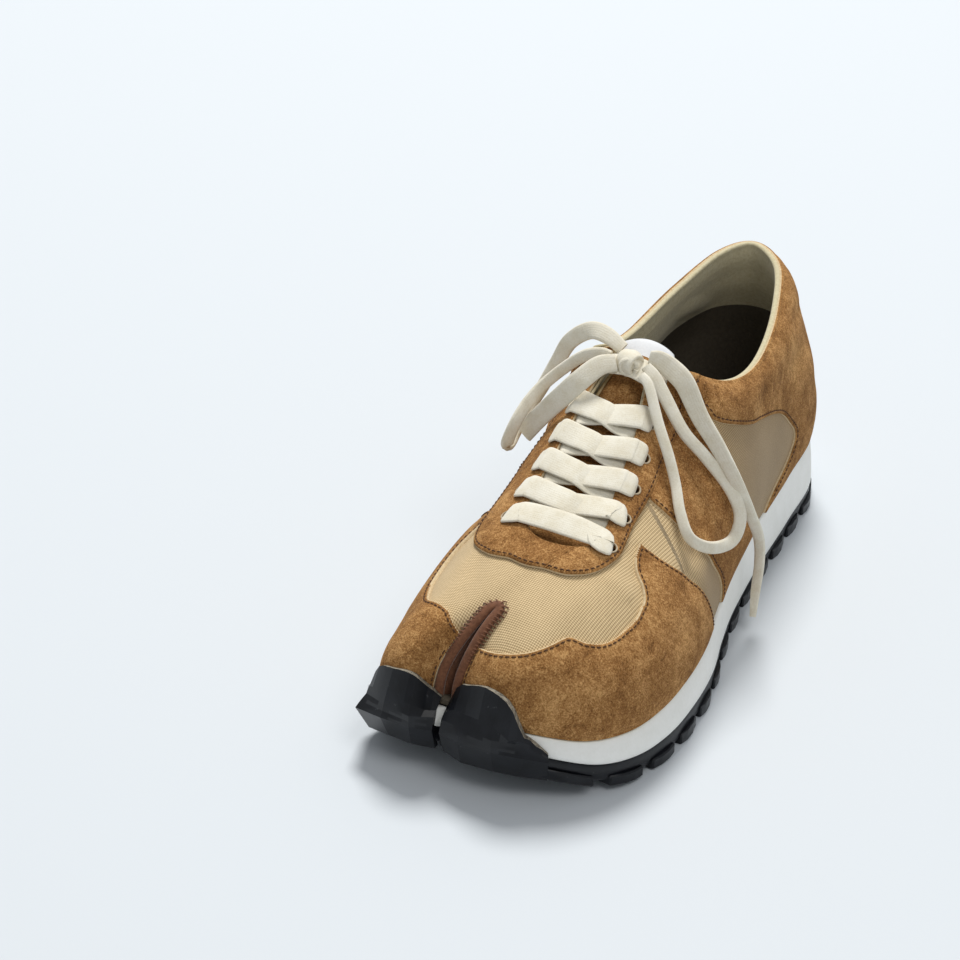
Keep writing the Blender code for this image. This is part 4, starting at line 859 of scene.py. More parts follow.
def make_upper():
    """Canvas outside, the padded lining rolled over the opening, and the inner face, whose deep part is
    painted dark as shade.
    """
    ribs = np.arange(MOUTH_M, MOUTH_L + RIB_COUNT + 1e-9, 1 / RIB_STEPS)
    shares = upper_shares()
    outer, _ = surface(np.mod(ribs, RIB_COUNT)[None, :], shares[:, None])
    outer = np.concatenate([outer, slit_columns(shares, outer)], 1)
    ribs = np.concatenate([np.mod(ribs, RIB_COUNT), np.linspace(MOUTH_L, MOUTH_M, SLIT_COLUMNS + 2)[1:-1]])
    normals = grid_normals(outer, True)
    if normals[10, 100] @ (outer[10, 100] - outer.reshape(-1, 3).mean(0)) < 0:
        normals = -normals
    padded = smoothstep(6.2, 4.6, from_heel(ribs))
    height = np.linalg.norm(outer - outer[-1], axis=-1) / MM
    roll = smooth_curve((0, 2.5, 8, 16, 30, 45), (1.2, 3.2, 4.6, 4.2, 1.6, 0), height, steady=True) * MM
    wall = LINING_WALL + roll * padded[None, :]
    inner = outer - normals * wall[..., None]
    top_up = unit(outer[-1] - outer[-3])
    centre = (outer[-1] + inner[-1]) / 2
    reach = (outer[-1] - inner[-1]) / 2
    lift = np.linalg.norm(reach, axis=-1)[:, None] * top_up
    arc = [centre + reach * math.cos(a) + lift * math.sin(a) for a in np.linspace(0, math.pi, 8)[1:-1]]
    rows = np.concatenate([outer, arc, inner[::-1]])
    count, columns = rows.shape[:2]
    faces = grid_faces(count, columns, close_rows=True, close_columns=True)
    row_look = np.zeros(count, int)
    first = len(shares) - 1
    row_look[first:] = 1
    # Painted shade: the lining more than 36 mm below the opening, and its lowest row, take the dark inside
    # finish in place of the shade deep in the shoe.
    depth = height[::-1].mean(1)
    row_look[first + 7 :][: len(depth)] = np.where(depth[: count - first - 7] > 36, 2, 1)
    row_look[-1] = 2
    look_grid = np.repeat(row_look, columns).reshape(count, columns)
    look_grid[: int(np.sum(shares < CLEFT_TOP)), -SLIT_COLUMNS - 1 :] = 3
    looks = [LOOKS["canvas"], LOOKS["lining"], LOOKS["inside"], LOOKS["binding"]]
    cloth = cloth_coordinates(ribs[None, :], rows)
    obj = make_mesh("upper_cloth", rows.reshape(-1, 3), faces, looks,
                    look_grid.ravel(), cloth.reshape(-1, 2))
    ride(obj, "canvas", "upper")
    return obj


# Panels


def outline_of(limits, first, last):
    """Outline, as rib positions and shares, of where every limit holds on the upper."""
    ribs = np.linspace(first, last, int((last - first) * 18) + 1)
    shares = np.linspace(0, 1, 60)
    rib_grid, share_grid = np.meshgrid(ribs, shares)
    corners = np.stack([rib_grid, share_grid], -1).reshape(-1, 2)
    polygons = grid_faces(len(shares), len(ribs))
    for limit in limits:
        corners, polygons = cut_back(corners, polygons, limit)
    following = dict(open_edges(polygons))
    loops = []
    while following:
        start, here = following.popitem()
        loop = [start]
        while here != start and here in following:
            loop.append(here)
            here = following.pop(here)
        loops.append(corners[loop])
    return even_loop(max(loops, key=len))


def even_loop(loop):
    """The same outline with a point every millimetre."""
    closed = np.vstack([loop, loop[:1]])
    run = run_along(skin(closed[:, 0], closed[:, 1]))
    at = np.linspace(0, run[-1], int(run[-1] / EDGE_STEP), endpoint=False)
    return np.stack([np.interp(at, run, closed[:, k]) for k in range(2)], -1)


def cut_back(corners, polygons, limit):
    """Keeps what lies where limit(rib, share) is above 0."""
    level = limit(corners[:, 0], corners[:, 1])
    level[np.abs(level) < 0.0008] = 0
    corners = list(corners)
    crossings, kept = {}, []
    for polygon in polygons:
        if max(level[i] for i in polygon) <= 0:
            continue
        rest = []
        for a, b in zip(polygon, polygon[1:] + polygon[:1]):
            if level[a] >= 0:
                rest.append(a)
            if level[a] * level[b] < 0:
                key = (min(a, b), max(a, b))
                if key not in crossings:
                    crossings[key] = len(corners)
                    step = (corners[b] - corners[a]) * level[a] / (level[a] - level[b])
                    corners.append(corners[a] + step)
                rest.append(crossings[key])
        if len(rest) > 2:
            kept.append(rest)
    return np.array(corners), kept


def tree_of(points):
    tree = KDTree(len(points))
    for i, point in enumerate(points):
        tree.insert(point, i)
    tree.balance()
    return tree


def distances(tree, points):
    return np.array([tree.find(point)[2] for point in points])


def inset_line(loop, distance):
    """The outline moved inwards along the surface, with the points that stay clear of its edge."""
    rib, share = loop.T
    place, normal = surface(rib, share)
    low, high = np.maximum(share - 0.01, 0), np.minimum(share + 0.01, 1)
    by_rib = (skin(rib + 0.01, share) - skin(rib - 0.01, share)) / 0.02
    by_share = (skin(rib, high) - skin(rib, low)) / (high - low)[:, None]
    along = unit(np.roll(place, -2, 0) - np.roll(place, 2, 0))
    inward = np.cross(normal, along)
    flat_along = np.roll(loop, -2, 0) - np.roll(loop, 2, 0)
    left = by_rib * -flat_along[:, 1:] * 3 + by_share * flat_along[:, :1] / 3
    ahead = np.roll(loop, -1, 0)
    turn = np.sign(np.sum(ahead[:, 1] * loop[:, 0] - loop[:, 1] * ahead[:, 0]))
    inward = inward * (np.sign(np.sum(inward * left, -1)) * turn)[:, None]
    a = np.sum(by_rib * by_rib, -1)
    b = np.sum(by_rib * by_share, -1)
    c = np.sum(by_share * by_share, -1)
    p = np.sum(by_rib * inward, -1) * distance
    q = np.sum(by_share * inward, -1) * distance
    det = a * c - b * b
    moved = loop + np.stack([(p * c - q * b) / det, (q * a - p * b) / det], -1)
    inside = (moved[:, 1] > 0.001) & (moved[:, 1] < 0.999)
    clear = distances(tree_of(place), surface(*moved.T)[0]) > distance * 0.92
    return moved[inside & clear]


def fill_outline(loop, rings, spacing):
    """Points inside an outline and the triangles that fill it."""
    scale = np.array(PANEL_SCALE)
    low, high = loop.min(0), loop.max(0)
    ribs = np.arange(low[0], high[0], spacing / scale[0])
    shares = np.arange(low[1], high[1], spacing / scale[1])
    rib_grid, share_grid = np.meshgrid(ribs, shares)
    inner = np.stack([rib_grid, share_grid], -1).reshape(-1, 2)
    outer = np.vstack([loop, *rings])
    away = distances(tree_of(surface(*outer.T)[0]), surface(*inner.T)[0])
    points = np.vstack([outer, inner[away > spacing * 0.6]]) * scale / MM
    edges = [(i, (i + 1) % len(loop)) for i in range(len(loop))]
    flat, _, faces, _, _, _ = delaunay_2d_cdt([Vector(p) for p in points], edges, [], 1, 1e-5)
    return np.array([tuple(p) for p in flat]) / scale * MM, faces


def panel(name, limits, first, last, lift=0.0, skip=None):
    """A suede piece with a rounded cut edge and its stitches, on the upper inside all the limits."""
    loop = outline_of(limits, first, last)
    rings = [inset_line(loop, d * MM) for d in RING_INSETS]
    flat, faces = fill_outline(loop, rings, PANEL_SPACING)
    place, normal = surface(*flat.T)
    away = distances(tree_of(surface(*loop.T)[0]), place) / MM
    bend = np.sqrt(1 - (1 - np.minimum(away / 0.9, 1)) ** 2)
    rise = PANEL_HEIGHT * (0.52 + 0.48 * bend) + 0.3 * smoothstep(0.5, 9, away)
    rise = rise - 0.28 * np.exp(-(((away - STITCH_INSET) / 0.55) ** 2))
    top = place + normal * ((lift + rise) * MM)[:, None]
    low = place + normal * (lift - 0.15) * MM
    count = len(flat)
    walls = [[b, a, a + count, b + count] for a, b in open_edges(faces)]
    solid = list(faces) + [[i + count for i in reversed(p)] for p in faces] + walls
    pale = [int(name.startswith("toe_guard") and max(away[i] for i in p) < 0.5) for p in faces]
    indices = pale + [0] * len(faces) + [1] * len(walls)
    used = sorted({i for f in solid for i in f})
    number = {old: new for new, old in enumerate(used)}
    solid = [[number[i] for i in f] for f in solid]
    points = np.concatenate([top, low])[used]
    looks = [LOOKS["suede"], LOOKS["cut_edge"]]
    obj = ride(make_mesh(name + "_suede", points, solid, looks, indices, smooth=60), "suede", name)
    line = inset_line(loop, STITCH_INSET * MM)
    line = line[line[:, 1] > 0.035]
    if skip is not None:
        line = line[~skip(line[:, 0], line[:, 1])]
    stitches(name + "_stitches", line, lift + PANEL_HEIGHT + 0.02)
    return obj


def stitches(name, line, height):
    """Short threads along a line of rib positions and shares, at a height over the skin."""
    points, faces = [], []
    rings = [(-1.0, 0.25), (-0.75, 0.8), (0.0, 1.0), (0.75, 0.8), (1.0, 0.25)]
    place, normal = surface(*line.T)
    place = place + normal * height * MM
    step = np.linalg.norm(np.diff(place, axis=0), axis=1)
    for run in np.split(np.arange(len(place)), np.flatnonzero(step > 3.2 * MM) + 1):
        if len(run) < 4:
            continue
        here, up = place[run], normal[run]
        at = run_along(here)
        heading = np.gradient(here, at + np.arange(len(at)) * 1e-9, axis=0)
        for middle in np.arange(STITCH_PITCH / 2, at[-1] / MM, STITCH_PITCH) * MM:
            centre, above, ahead = (
                np.array([np.interp(middle, at, v[:, k]) for k in range(3)]) for v in (here, up, heading))
            ahead = unit(ahead)
            above = unit(above - ahead * (above @ ahead))
            side = np.cross(ahead, above)
            base = len(points)
            for along, share in rings:
                for k in range(6):
                    a = math.pi * k / 3
                    out = (side * math.cos(a) + above * math.sin(a)) * STITCH_RADIUS * share * MM
                    dip = above * abs(along) ** 2 * 0.28 * MM
                    points.append(centre + ahead * along * STITCH_LENGTH / 2 * MM + out - dip)
            for a in range(base, base + 24, 6):
                faces += [[a + k, a + (k + 1) % 6, a + (k + 1) % 6 + 6, a + k + 6] for k in range(6)]
            faces.append([base + k for k in range(5, -1, -1)])
            faces.append([base + 24 + k for k in range(6)])
    if points:
        ride(make_mesh(name, points, faces, [LOOKS["thread"]]), "suede")


def make_panels():
    outer_lip, inner_lip = lip_rib(LIP_MARGIN, 1), lip_rib(LIP_MARGIN, -1)
    stay = lambda r, v: edge_share(EYESTAY_EDGE, r) + TUCK - v
    under_stay = lambda r, v: v > edge_share(EYESTAY_EDGE, r) - 0.015
    panel("toe_guard_lateral", [
        lambda r, v: edge_share(GUARD_TOP_LATERAL, r) - v,
        lambda r, v: r - edge_rib(GUARD_BACK_LATERAL, v),
        lambda r, v: outer_lip - r, stay], 6, 13, skip=under_stay)
    panel("toe_guard_medial", [
        lambda r, v: edge_share(GUARD_TOP_MEDIAL, r) - v,
        lambda r, v: edge_rib(GUARD_BACK_MEDIAL, v) - r,
        lambda r, v: r - inner_lip, stay], 14, 21, skip=under_stay)
    for name, turn, first, last in (("lateral", lambda r: r, 3.5, 8), ("medial", mirrored, 19, 23.5)):
        panel("side_strap_" + name, [
            lambda r, v: edge_rib(STRAP_FRONT, v) - RIB_MARGIN - turn(r),
            lambda r, v: turn(r) - edge_rib(STRAP_BACK, v) - RIB_MARGIN,
            stay], first, last, skip=under_stay)
    tuck = lambda v: 0.22 * smoothstep(0.78, 0.90, v)
    at_opening = lambda r, v: v > 0.97
    panel("heel_panel", [lambda r, v: edge_rib(HEEL_FRONT, v) + tuck(v) - RIB_MARGIN - np.abs(r)],
          -5.6, 5.6, skip=at_opening)
    return panel("eyestay", [lambda r, v: v - edge_share(EYESTAY_EDGE, r)], 4.5, 22.5,
                 lift=0.45, skip=at_opening)


# Sole


def sole_ring(ribs, inset, notch=SOLE_NOTCH):
    """Plan outline of the sole moved in by inset, with a shallow notch at the slit."""
    line, outward = sole_line(ribs)
    ring = line - outward * np.asarray(inset)[..., None]
    inside = np.flatnonzero((ribs > MOUTH_L) & (ribs < MOUTH_M))
    if not len(inside):
        return ring
    across = np.array([inside[0] - 1, *inside, (inside[-1] + 1) % len(ribs)])
    middle = (ring[across[0]] + ring[across[-1]]) / 2
    deep = np.sin(np.linspace(0, np.pi, len(across)))
    ring[across, 1] = middle[1] + (y_of(CLEFT_END) - middle[1]) * notch * deep
    return ring


def sole_ribs():
    side = np.arange(MOUTH_M, MOUTH_L + RIB_COUNT + 1e-9, 1 / 8)
    return np.mod(np.concatenate([side, np.linspace(MOUTH_L, MOUTH_M, 11)[1:-1]]), RIB_COUNT)


def slab(name, rings, heights, look, slot, replaced, smooth=50):
    """Solid from rings of plan points and the height of each, bottom first, with filled ends."""
    count = len(rings[0])
    low, high = rings[0].min(0), rings[0].max(0)
    xs, ys = np.arange(low[0], high[0], 0.005), np.arange(low[1], high[1], 0.005)
    grid = np.stack(np.meshgrid(xs, ys), -1).reshape(-1, 2)
    caps = []
    points = [with_height(r, h(station_of(r[:, 1]))) for r, h in zip(rings, heights)]
    total = count * len(rings)
    for ring, height in ((rings[0], heights[0]), (rings[-1], heights[-1])):
        tree = tree_of(with_height(ring, 0.0))
        inner = grid[distances(tree, with_height(grid, 0.0)) > 0.003]
        loose = [Vector(p) * 1000 for p in (*ring.tolist(), *inner.tolist())]
        edges = [(i, (i + 1) % count) for i in range(count)]
        flat, _, faces, origins, _, _ = delaunay_2d_cdt(loose, edges, [], 1, 1e-4)
        base = 0 if ring is rings[0] else count * (len(rings) - 1)
        number = []
        for p, origin in zip(flat, origins):
            if origin and min(origin) < count:
                number.append(base + min(origin))
            else:
                plan = np.array([[p[0], p[1]]]) / 1000
                points.append(with_height(plan, height(station_of(plan[:, 1]))))
                number.append(total)
                total += 1
        caps += [[number[i] for i in f] for f in faces]
    sides = grid_faces(len(rings), count, close_columns=True)
    obj = make_mesh(name, np.concatenate(points), sides + caps, [look], smooth=smooth)
    return ride(obj, slot, *replaced)


def make_midsole():
    ribs = sole_ribs()
    inset = rib_values(ribs)[:, 2] * FEATHER_INSET - FEATHER_LEDGE
    levels = (0.0, 0.04, 0.10, 0.3, 0.55, 0.8, 0.92, 0.985, 1.0)
    flare = (0.35, 0.08, 0.0, 0.10, 0.28, 0.55, 0.70, 0.86, 1.06)
    rings = [sole_ring(ribs, SIDE_INSET + inset * f) for f in flare]
    heights = [
        lambda s, k=k: join(s) + (feather(s) - GAP - join(s)) * k for k in levels]
    slab("midsole_foam", rings, heights, LOOKS["foam"], "foam", ("midsole",))


def solid_block(low, high):
    """Prism between two rings of the same number of points."""
    count = len(low)
    faces = [list(range(count)), list(range(count, 2 * count))]
    faces += [[i, (i + 1) % count, (i + 1) % count + count, i + count] for i in range(count)]
    return np.concatenate([low, high]), faces


def make_lugs():
    """Chamfered blocks along both edges and down the middle of the tread."""
    shape = bmesh.new()
    first = y_of(0.035)
    for i in range(int((first - y_of(0.965)) / LUG_PITCH) + 1):
        start = first - i * LUG_PITCH
        ends = np.array([start, start - LUG_LENGTH])
        plans = []
        for side in (1, -1):
            ribs = rib_at(np.linspace(*ends, 4), side)
            line, outward = sole_line(ribs)
            rim = line + outward * (LUG_PROUD * np.array([0.2, 1, 1, 0.2]))[:, None]
            inner = line[::-1] - outward[::-1] * LUG_REACH
            inner[:, 1] = inner[:, 1] * 0.3 + rim[::-1, 1] * 0.7
            plans.append(np.concatenate([rim, inner]))
        middle = np.array([start + 0.004, start - LUG_LENGTH + 0.004])
        edges = [sole_line(rib_at(middle, side))[0][:, 0] for side in (1, -1)]
        centre = (edges[0] + edges[1]) / 2
        half = np.minimum(CENTRE_LUG / 2, (edges[0] - edges[1]) / 2 - LUG_REACH - 0.002)
        if i and half.min() >= 0.004:
            left, right = np.stack([centre - half, middle], -1), np.stack([centre + half, middle], -1)
            plans.append(np.concatenate([left, right[::-1]]))
        for plan in plans:
            station = station_of(plan[:, 1])
            low = ground(station)
            top = low + LUG_DEPTH + 0.002
            points, faces = solid_block(with_height(plan, low), with_height(plan, top))
            verts = [shape.verts.new(p) for p in points]
            made = [shape.faces.new([verts[k] for k in f]) for f in faces]
            bmesh.ops.bevel(shape, geom=list({e for f in made for e in f.edges}), offset=0.0005,
                            segments=1, affect="EDGES")
    mesh = bpy.data.meshes.new("lugs")
    shape.to_mesh(mesh)
    shape.free()
    points = [tuple(v.co) for v in mesh.vertices]
    faces = [list(p.vertices) for p in mesh.polygons]
    ride(make_mesh("outsole_lugs", points, faces, [LOOKS["rubber"]], smooth=30), "rubber")


def flap_rows(rib, height, deep):
    """Inner and outer points of a toe flap at one rib position, from the tread up to its edge."""
    line, outward = sole_line(rib)
    inset = rib_values(rib)[2] * FEATHER_INSET
    inner, outer = [], []
    for level in [-1, -0.4, 0] + [height * k / FLAP_LEVELS for k in range(1, FLAP_LEVELS + 1)]:
        tip = 1 if level < height else 0.5
        thick = FLAP_THICKNESS * tip * deep(level)
        if level <= 1:
            away = np.interp(level, [-1, -0.3, 0, 1], [-0.003, -0.001, 0.0005, 0.0024 - inset])
            plan = line + outward * away
            station = station_of(plan[1])
            low, top = ground(station), join(station)
            if level <= 0:
                z = low + 0.0006 + (top - low) * np.interp(level, [-1, -0.3, 0], [0, 0.75, 0.95])
            else:
                z = top + (feather(station) - top) * level
            inner.append([*plan, z])
            outer.append([*(plan + outward * thick), z])
        else:
            place, normal = surface(rib, level - 1)
            inner.append(place + normal * FLAP_CLEAR)
            outer.append(place + normal * (FLAP_CLEAR + thick))
    return np.array(inner), np.array(outer)


def on_triangles(p, q, near, up, right, far):
    """Value inside a square of four values that is split into two flat triangles."""
    if p + q < 1:
        return near + (up - near) * p + (right - near) * q
    return far + (right - far) * (1 - p) + (up - far) * (1 - q)


def facets(grid):
    """The grid with flat triangles between every fourth column and every second row."""
    made = grid.copy()
    for row in range(len(grid) - 1):
        for column in range(grid.shape[1]):
            a, b = min(row // 2, 3), min(column // 4, 3)
            (near, right), (up, far) = grid[2 * a : 2 * a + 3 : 2, 4 * b : 4 * b + 5 : 4]
            flat = on_triangles(row / 2 - a, column / 4 - b, near, up, right, far)
            made[row, column] = flat if row < len(grid) - 2 else (flat + grid[row, column]) / 2
    return made


def make_flaps():
    """The two rubber flaps over the toes, in large flat facets like chipped stone."""
    for name, table, seed in (("lateral", FLAP_LATERAL, 5), ("medial", FLAP_MEDIAL, 12)):
        chips = np.random.default_rng(seed)
        knots = chips.uniform(0.80, 2.00, (5, 5))
        knots[[0, -1]] = 0.8
        rows = []
        for i, rib in enumerate(np.linspace(table[0][0], table[-1][0], FLAP_COLUMNS)):
            def deep(level, across=i / (FLAP_COLUMNS - 1) * 4):
                up = np.clip((level + 1) / 2.2, 0, 1) * 4
                a, b = min(int(across), 3), min(int(up), 3)
                corners = knots[a, b], knots[a + 1, b], knots[a, b + 1], knots[a + 1, b + 1]
                return on_triangles(across - a, up - b, *corners)
            rows.append(flap_rows(rib, float(edge_share(table, rib)), deep))
        inner = np.stack([row[0] for row in rows], 1)
        outer = facets(np.stack([row[1] for row in rows], 1))
        count, columns = outer.shape[:2]
        front, back, edge = closed_sheet(count, columns)
        faces = front + back + edge
        top = len(front + back) + columns + count - 2
        indices = [int(top <= i < top + columns - 1) for i in range(len(faces))]
        points = np.concatenate([outer.reshape(-1, 3), inner.reshape(-1, 3)])
        looks = [LOOKS["rubber"], LOOKS["worn"]]
        ride(make_mesh("toe_flap_" + name, points, faces, looks, indices, smooth=9), "rubber")


def make_outsole():
    ribs = sole_ribs()
    insets = (0.0009, 0.0004, 0.0003, 0.0004, 0.0008)
    rings = [sole_ring(ribs, SIDE_INSET + d) for d in insets]
    shares = (0.0, 0.12, 0.5, 0.88, 1.0)
    heights = [
        lambda s, k=k: ground(s) + LUG_DEPTH + (join(s) - GAP / 2 - ground(s) - LUG_DEPTH) * k
        for k in shares]
    slab("outsole_plate", rings, heights, LOOKS["rubber"], "rubber", ("outsole",))
    make_lugs()
    make_flaps()


def make_insole():
    ribs = np.arange(MOUTH_M + 0.6, MOUTH_L + RIB_COUNT - 0.6, 1 / 6)
    line, outward = sole_line(np.mod(ribs, RIB_COUNT))
    inset = rib_values(np.mod(ribs, RIB_COUNT))[:, 2] * FEATHER_INSET
    rings = [line - outward * (inset + d)[:, None] for d in (0.0036, 0.0036, 0.0046, 0.0060)]
    tops = (2 * GAP, INSOLE_THICKNESS - 0.001, INSOLE_THICKNESS, INSOLE_THICKNESS + 0.0004)
    heights = [lambda s, t=t: feather(s) + t for t in tops]
    slab("insole_fabric", rings, heights, LOOKS["inside"], "footbed", ("insole",))


# Tongue


def make_tongue():
    """Padded suede tongue with a corded edge, and its bare top."""
    rows = [tongue_front()]
    rows += [tongue_row(y) for y in np.linspace(-0.0560, 0.0045, 7)]
    rows += [tongue_top(row) for row in TONGUE_TOP]
    grid = catmull(np.array(rows), 6)
    grid = np.moveaxis(catmull(np.moveaxis(grid, 1, 0), 4), 0, 1)
    normals = grid_normals(grid, False)
    if normals[30, 16, 2] < 0:
        normals = -normals
    count, columns = grid.shape[:2]
    side = np.abs(np.linspace(-1, 1, columns))
    end = np.clip((count - 1 - np.arange(count)) / 3, 0, 1)
    full = np.sqrt(np.clip(1 - side[None, :] ** 8, 0.06, 1)) * np.sqrt(np.clip(end, 0.1, 1))[:, None]
    top = grid - normals * (TONGUE_THICKNESS / 2 * (1 - full))[..., None]
    low = grid - normals * (TONGUE_THICKNESS / 2 * (1 + full))[..., None]
    front, back, edge = closed_sheet(count, columns)
    bare = [int(f[0] // columns >= (len(rows) - 3) * 6 + 2) for f in front]
    indices = bare + bare + [0] * len(edge)
    points = np.concatenate([top.reshape(-1, 3), low.reshape(-1, 3)])
    looks = [LOOKS["suede"], LOOKS["label"]]
    ride(make_mesh("tongue_suede", points, front + back + edge, looks, indices), "suede", "tongue")
    for name, column in (("inner", 5), ("outer", -6)):
        line = grid[8:-14, column] + normals[8:-14, column] * 0.0003
        piece = ribbon_mesh("tongue_edge_" + name, line, normals[8:-14, column], 0.0022, 0.0014, "gold")
        ride(piece, "suede")


# Laces


def ribbon_mesh(name, path, normals, width, thickness, look, sides=14, flat=0.55):
    """Flat band with rounded edges along a path. Width and thickness may change along it."""
    path = np.asarray(path, float)
    count = len(path)
    width = np.broadcast_to(width, count)
    thickness = np.broadcast_to(thickness, count)
    along = unit(np.gradient(path, axis=0))
    across = unit(np.cross(along, unit(np.asarray(normals, float))))
    up = unit(np.cross(across, along))
    turn = np.linspace(0, 2 * math.pi, sides, endpoint=False) + math.pi / sides
    first = np.sign(np.cos(turn)) * np.abs(np.cos(turn)) ** flat
    second = np.sign(np.sin(turn)) * np.abs(np.sin(turn)) ** 0.75
    rings = path[:, None] + across[:, None] * (first[None, :, None] * width[:, None, None] / 2)
    rings = rings + up[:, None] * (second[None, :, None] * thickness[:, None, None] / 2)
    faces = grid_faces(count, sides, close_columns=True)
    faces += [list(range(sides)), [(count - 1) * sides + k for k in range(sides)]]
    run = run_along(path)
    cloth = np.stack(np.broadcast_arrays(run[:, None], first[None, :] * width[:, None] / 2), -1) / MM
    cloth = cloth.reshape(-1, 2)
    return make_mesh(name, rings.reshape(-1, 3), faces, [LOOKS[look]], None, cloth, smooth=70)


def lace_start(row, side, target):
    """Places and normals of a strip from its blunt end over the eyelet to the edge of the throat."""
    rib, share = eyelet(row, side)
    start = skin(rib, share)
    edge_y = start[1] + (target[1] - start[1]) * EYELET_INSET / np.linalg.norm(target - start)
    turn = throat_rib(edge_y, side) - rib
    along, heights = np.array(LACE_START).T
    ribs, shares = rib + turn * along, share + (1 - share) * along
    normals = skin_normal(ribs, shares)
    return skin(ribs, shares) + normals * (heights * MM)[:, None], normals


def lace_shape(run):
    """Width and thickness of a strip at a distance from its blunt end."""
    run = np.asarray(run) / MM
    width = LACE_FULL * np.interp(run, (0, 0.25, 0.8, 1.8, 3.2), (0.52, 0.70, 0.86, 0.96, 1.0))
    return width, LACE_BODY * np.interp(run, (0, 0.4, 1.2, 3), (0.55, 0.9, 1.15, 1.0))


def strip_path(row, side):
    """From the eyelet across the throat, to under the other edge beside the eyelet below."""
    below, _ = eyelet(row - 1, -side)
    level, _ = eyelet(row, -side)
    rib = below * 0.72 + level * 0.28
    shares = np.array([1.0, share_below(rib, 0.005)])
    ends = skin(rib, shares)
    places, normals = lace_start(row, side, ends[0])
    end_normals = skin_normal(np.full(2, rib), shares)
    ends = ends + end_normals * np.array([[-0.5], [-2.9]]) * MM
    over = 1.1 if side < 0 else -0.2
    middle = [places[-1] + (ends[0] - places[-1]) * t for t in (0.25, 0.5, 0.75)]
    lifts = (0.9 + 0.3 * over, 1.3 + over, 0.7)
    middle = [m + LACE_UP * lift * MM for m, lift in zip(middle, lifts)]
    turned = [normals[-1] * 0.5 + LACE_UP * 0.5, LACE_UP, end_normals[0] * 0.4 + LACE_UP * 0.6]
    return np.array([*places, *middle, *ends]), np.array([*normals, *turned, *end_normals])


def lace_strip(name, path, normals, both_ends=False):
    """A strip with a blunt end at its start, or at both ends."""
    fine = catmull(path, LACE_STEPS)
    run = run_along(fine)
    if both_ends:
        run = np.minimum(run, run[-1] - run)
    return ribbon_mesh(name, fine, catmull(normals, LACE_STEPS), *lace_shape(run), "lace")


def make_lace_rows():
    left, right = (skin(*eyelet(0, side)) for side in (1, -1))
    first, second = lace_start(0, 1, right), lace_start(0, -1, left)
    gap = second[0][-1] - first[0][-1]
    between = [first[0][-1] + gap * t + LACE_UP * 0.001 for t in (0.33, 0.67)]
    path = np.array([*first[0], *between, *second[0][::-1]])
    normals = np.array([*first[1], LACE_UP, LACE_UP, *second[1][::-1]])
    ride(lace_strip("lace_bar", path, normals, both_ends=True), "lace", "lace_row_1")
    for row in range(1, EYELET_ROWS - 1):
        for side, name in ((1, "under"), (-1, "over")):
            piece = lace_strip(f"lace_{name}_{row + 1}", *strip_path(row, side))
            ride(piece, "lace", *([f"lace_row_{row + 1}"] if side > 0 else []))


def top_strips():
    """The two strips that come up from the top eyelets into the knot."""
    made = []
    knot = np.array(KNOT_MIDDLE) - (0, 0, 0.001)
    for side, name in ((1, "outer"), (-1, "inner")):
        places, normals = lace_start(EYELET_ROWS - 1, side, knot)
        bend = places[-1] + (knot - places[-1]) * 0.5 + LACE_UP * 0.0006
        path, turned = np.array([*places, bend, knot]), np.array([*normals, LACE_UP, LACE_UP])
        made.append(lace_strip("lace_top_" + name, path, turned))
    return made


def make_knot():
    """Two turns of the lace wound round the crossing, in a soft lump."""
    middle = np.array(KNOT_MIDDLE)
    pieces = []
    for name, tilt, size, width in (("wrap", 0.35, 1.0, 0.0078), ("core", 1.35, 0.82, 0.0085)):
        turn = np.linspace(0, 2 * math.pi, 41)
        half = np.array(KNOT_HALF) * size
        across = np.array([math.sin(tilt), math.cos(tilt), 0])
        out = across[None] * np.cos(turn)[:, None] + np.array([0, 0, 1])[None] * np.sin(turn)[:, None]
        reach = np.array([half[1], half[1], half[2]]) * 0.80
        path = middle + out * reach + np.array([math.cos(tilt), -math.sin(tilt), 0]) * (
            np.linspace(-0.0006, 0.0006, 41)[:, None])
        pieces.append(ribbon_mesh("lace_knot_" + name, path, out, width, 0.0021, "lace"))
    shape = bmesh.new()
    bmesh.ops.create_icosphere(shape, subdivisions=3, radius=1)
    points = [middle + np.array(v.co) * np.array(KNOT_HALF) * (0.86, 0.80, 0.80) for v in shape.verts]
    faces = [[v.index for v in f.verts] for f in shape.faces]
    shape.free()
    pieces.append(make_mesh("lace_knot_heart", points, faces, [LOOKS["lace"]],
                            None, np.array(points)[:, :2] / MM))
    return pieces


def bow_path(route):
    """Fine path of a loop or end, with the face of the lace turned by the last column."""
    route = np.array(route, float)
    path = catmull(route[:, :3] * MM, 8)
    twist, width = np.radians(catmull(route[:, 3], 8)), catmull(route[:, 4], 8) * MM
    along = unit(np.gradient(path, axis=0))
    facing = -CAMERA_FORWARD
    facing = unit(facing - along * (along @ facing)[:, None])
    side = np.cross(along, facing)
    return path, facing * np.cos(twist)[:, None] + side * np.sin(twist)[:, None], width


def cord_length(path):
    return float(np.linalg.norm(np.diff(path, axis=0), axis=1).sum())


def make_bow():
    knot = make_knot()
    strips = top_strips()
    ride(knot[0], "lace", "lace_knot")
    for piece in (*knot[1:], *strips):
        ride(piece, "lace")
    for name, route, far_end in (
        ("lace_loop_lateral", LOOP_LATERAL, "object"),
        ("lace_end_lateral", END_LATERAL, "bare"),
        ("lace_loop_medial", LOOP_MEDIAL, "object"),
        ("lace_end_medial", END_MEDIAL, "bare"),
    ):
        path, normals, width = bow_path(route)
        thick = LACE_BODY + (LACE_FULL - width) * FOLD_SHARE
        piece = ribbon_mesh(name + "_tape", path, normals, width, thick, "lace")
        ride(piece, "lace", name)
        tuple(path[0])
        cord_length(path)
        float(np.median(width))
        [tuple(p) for p in path]


# Split


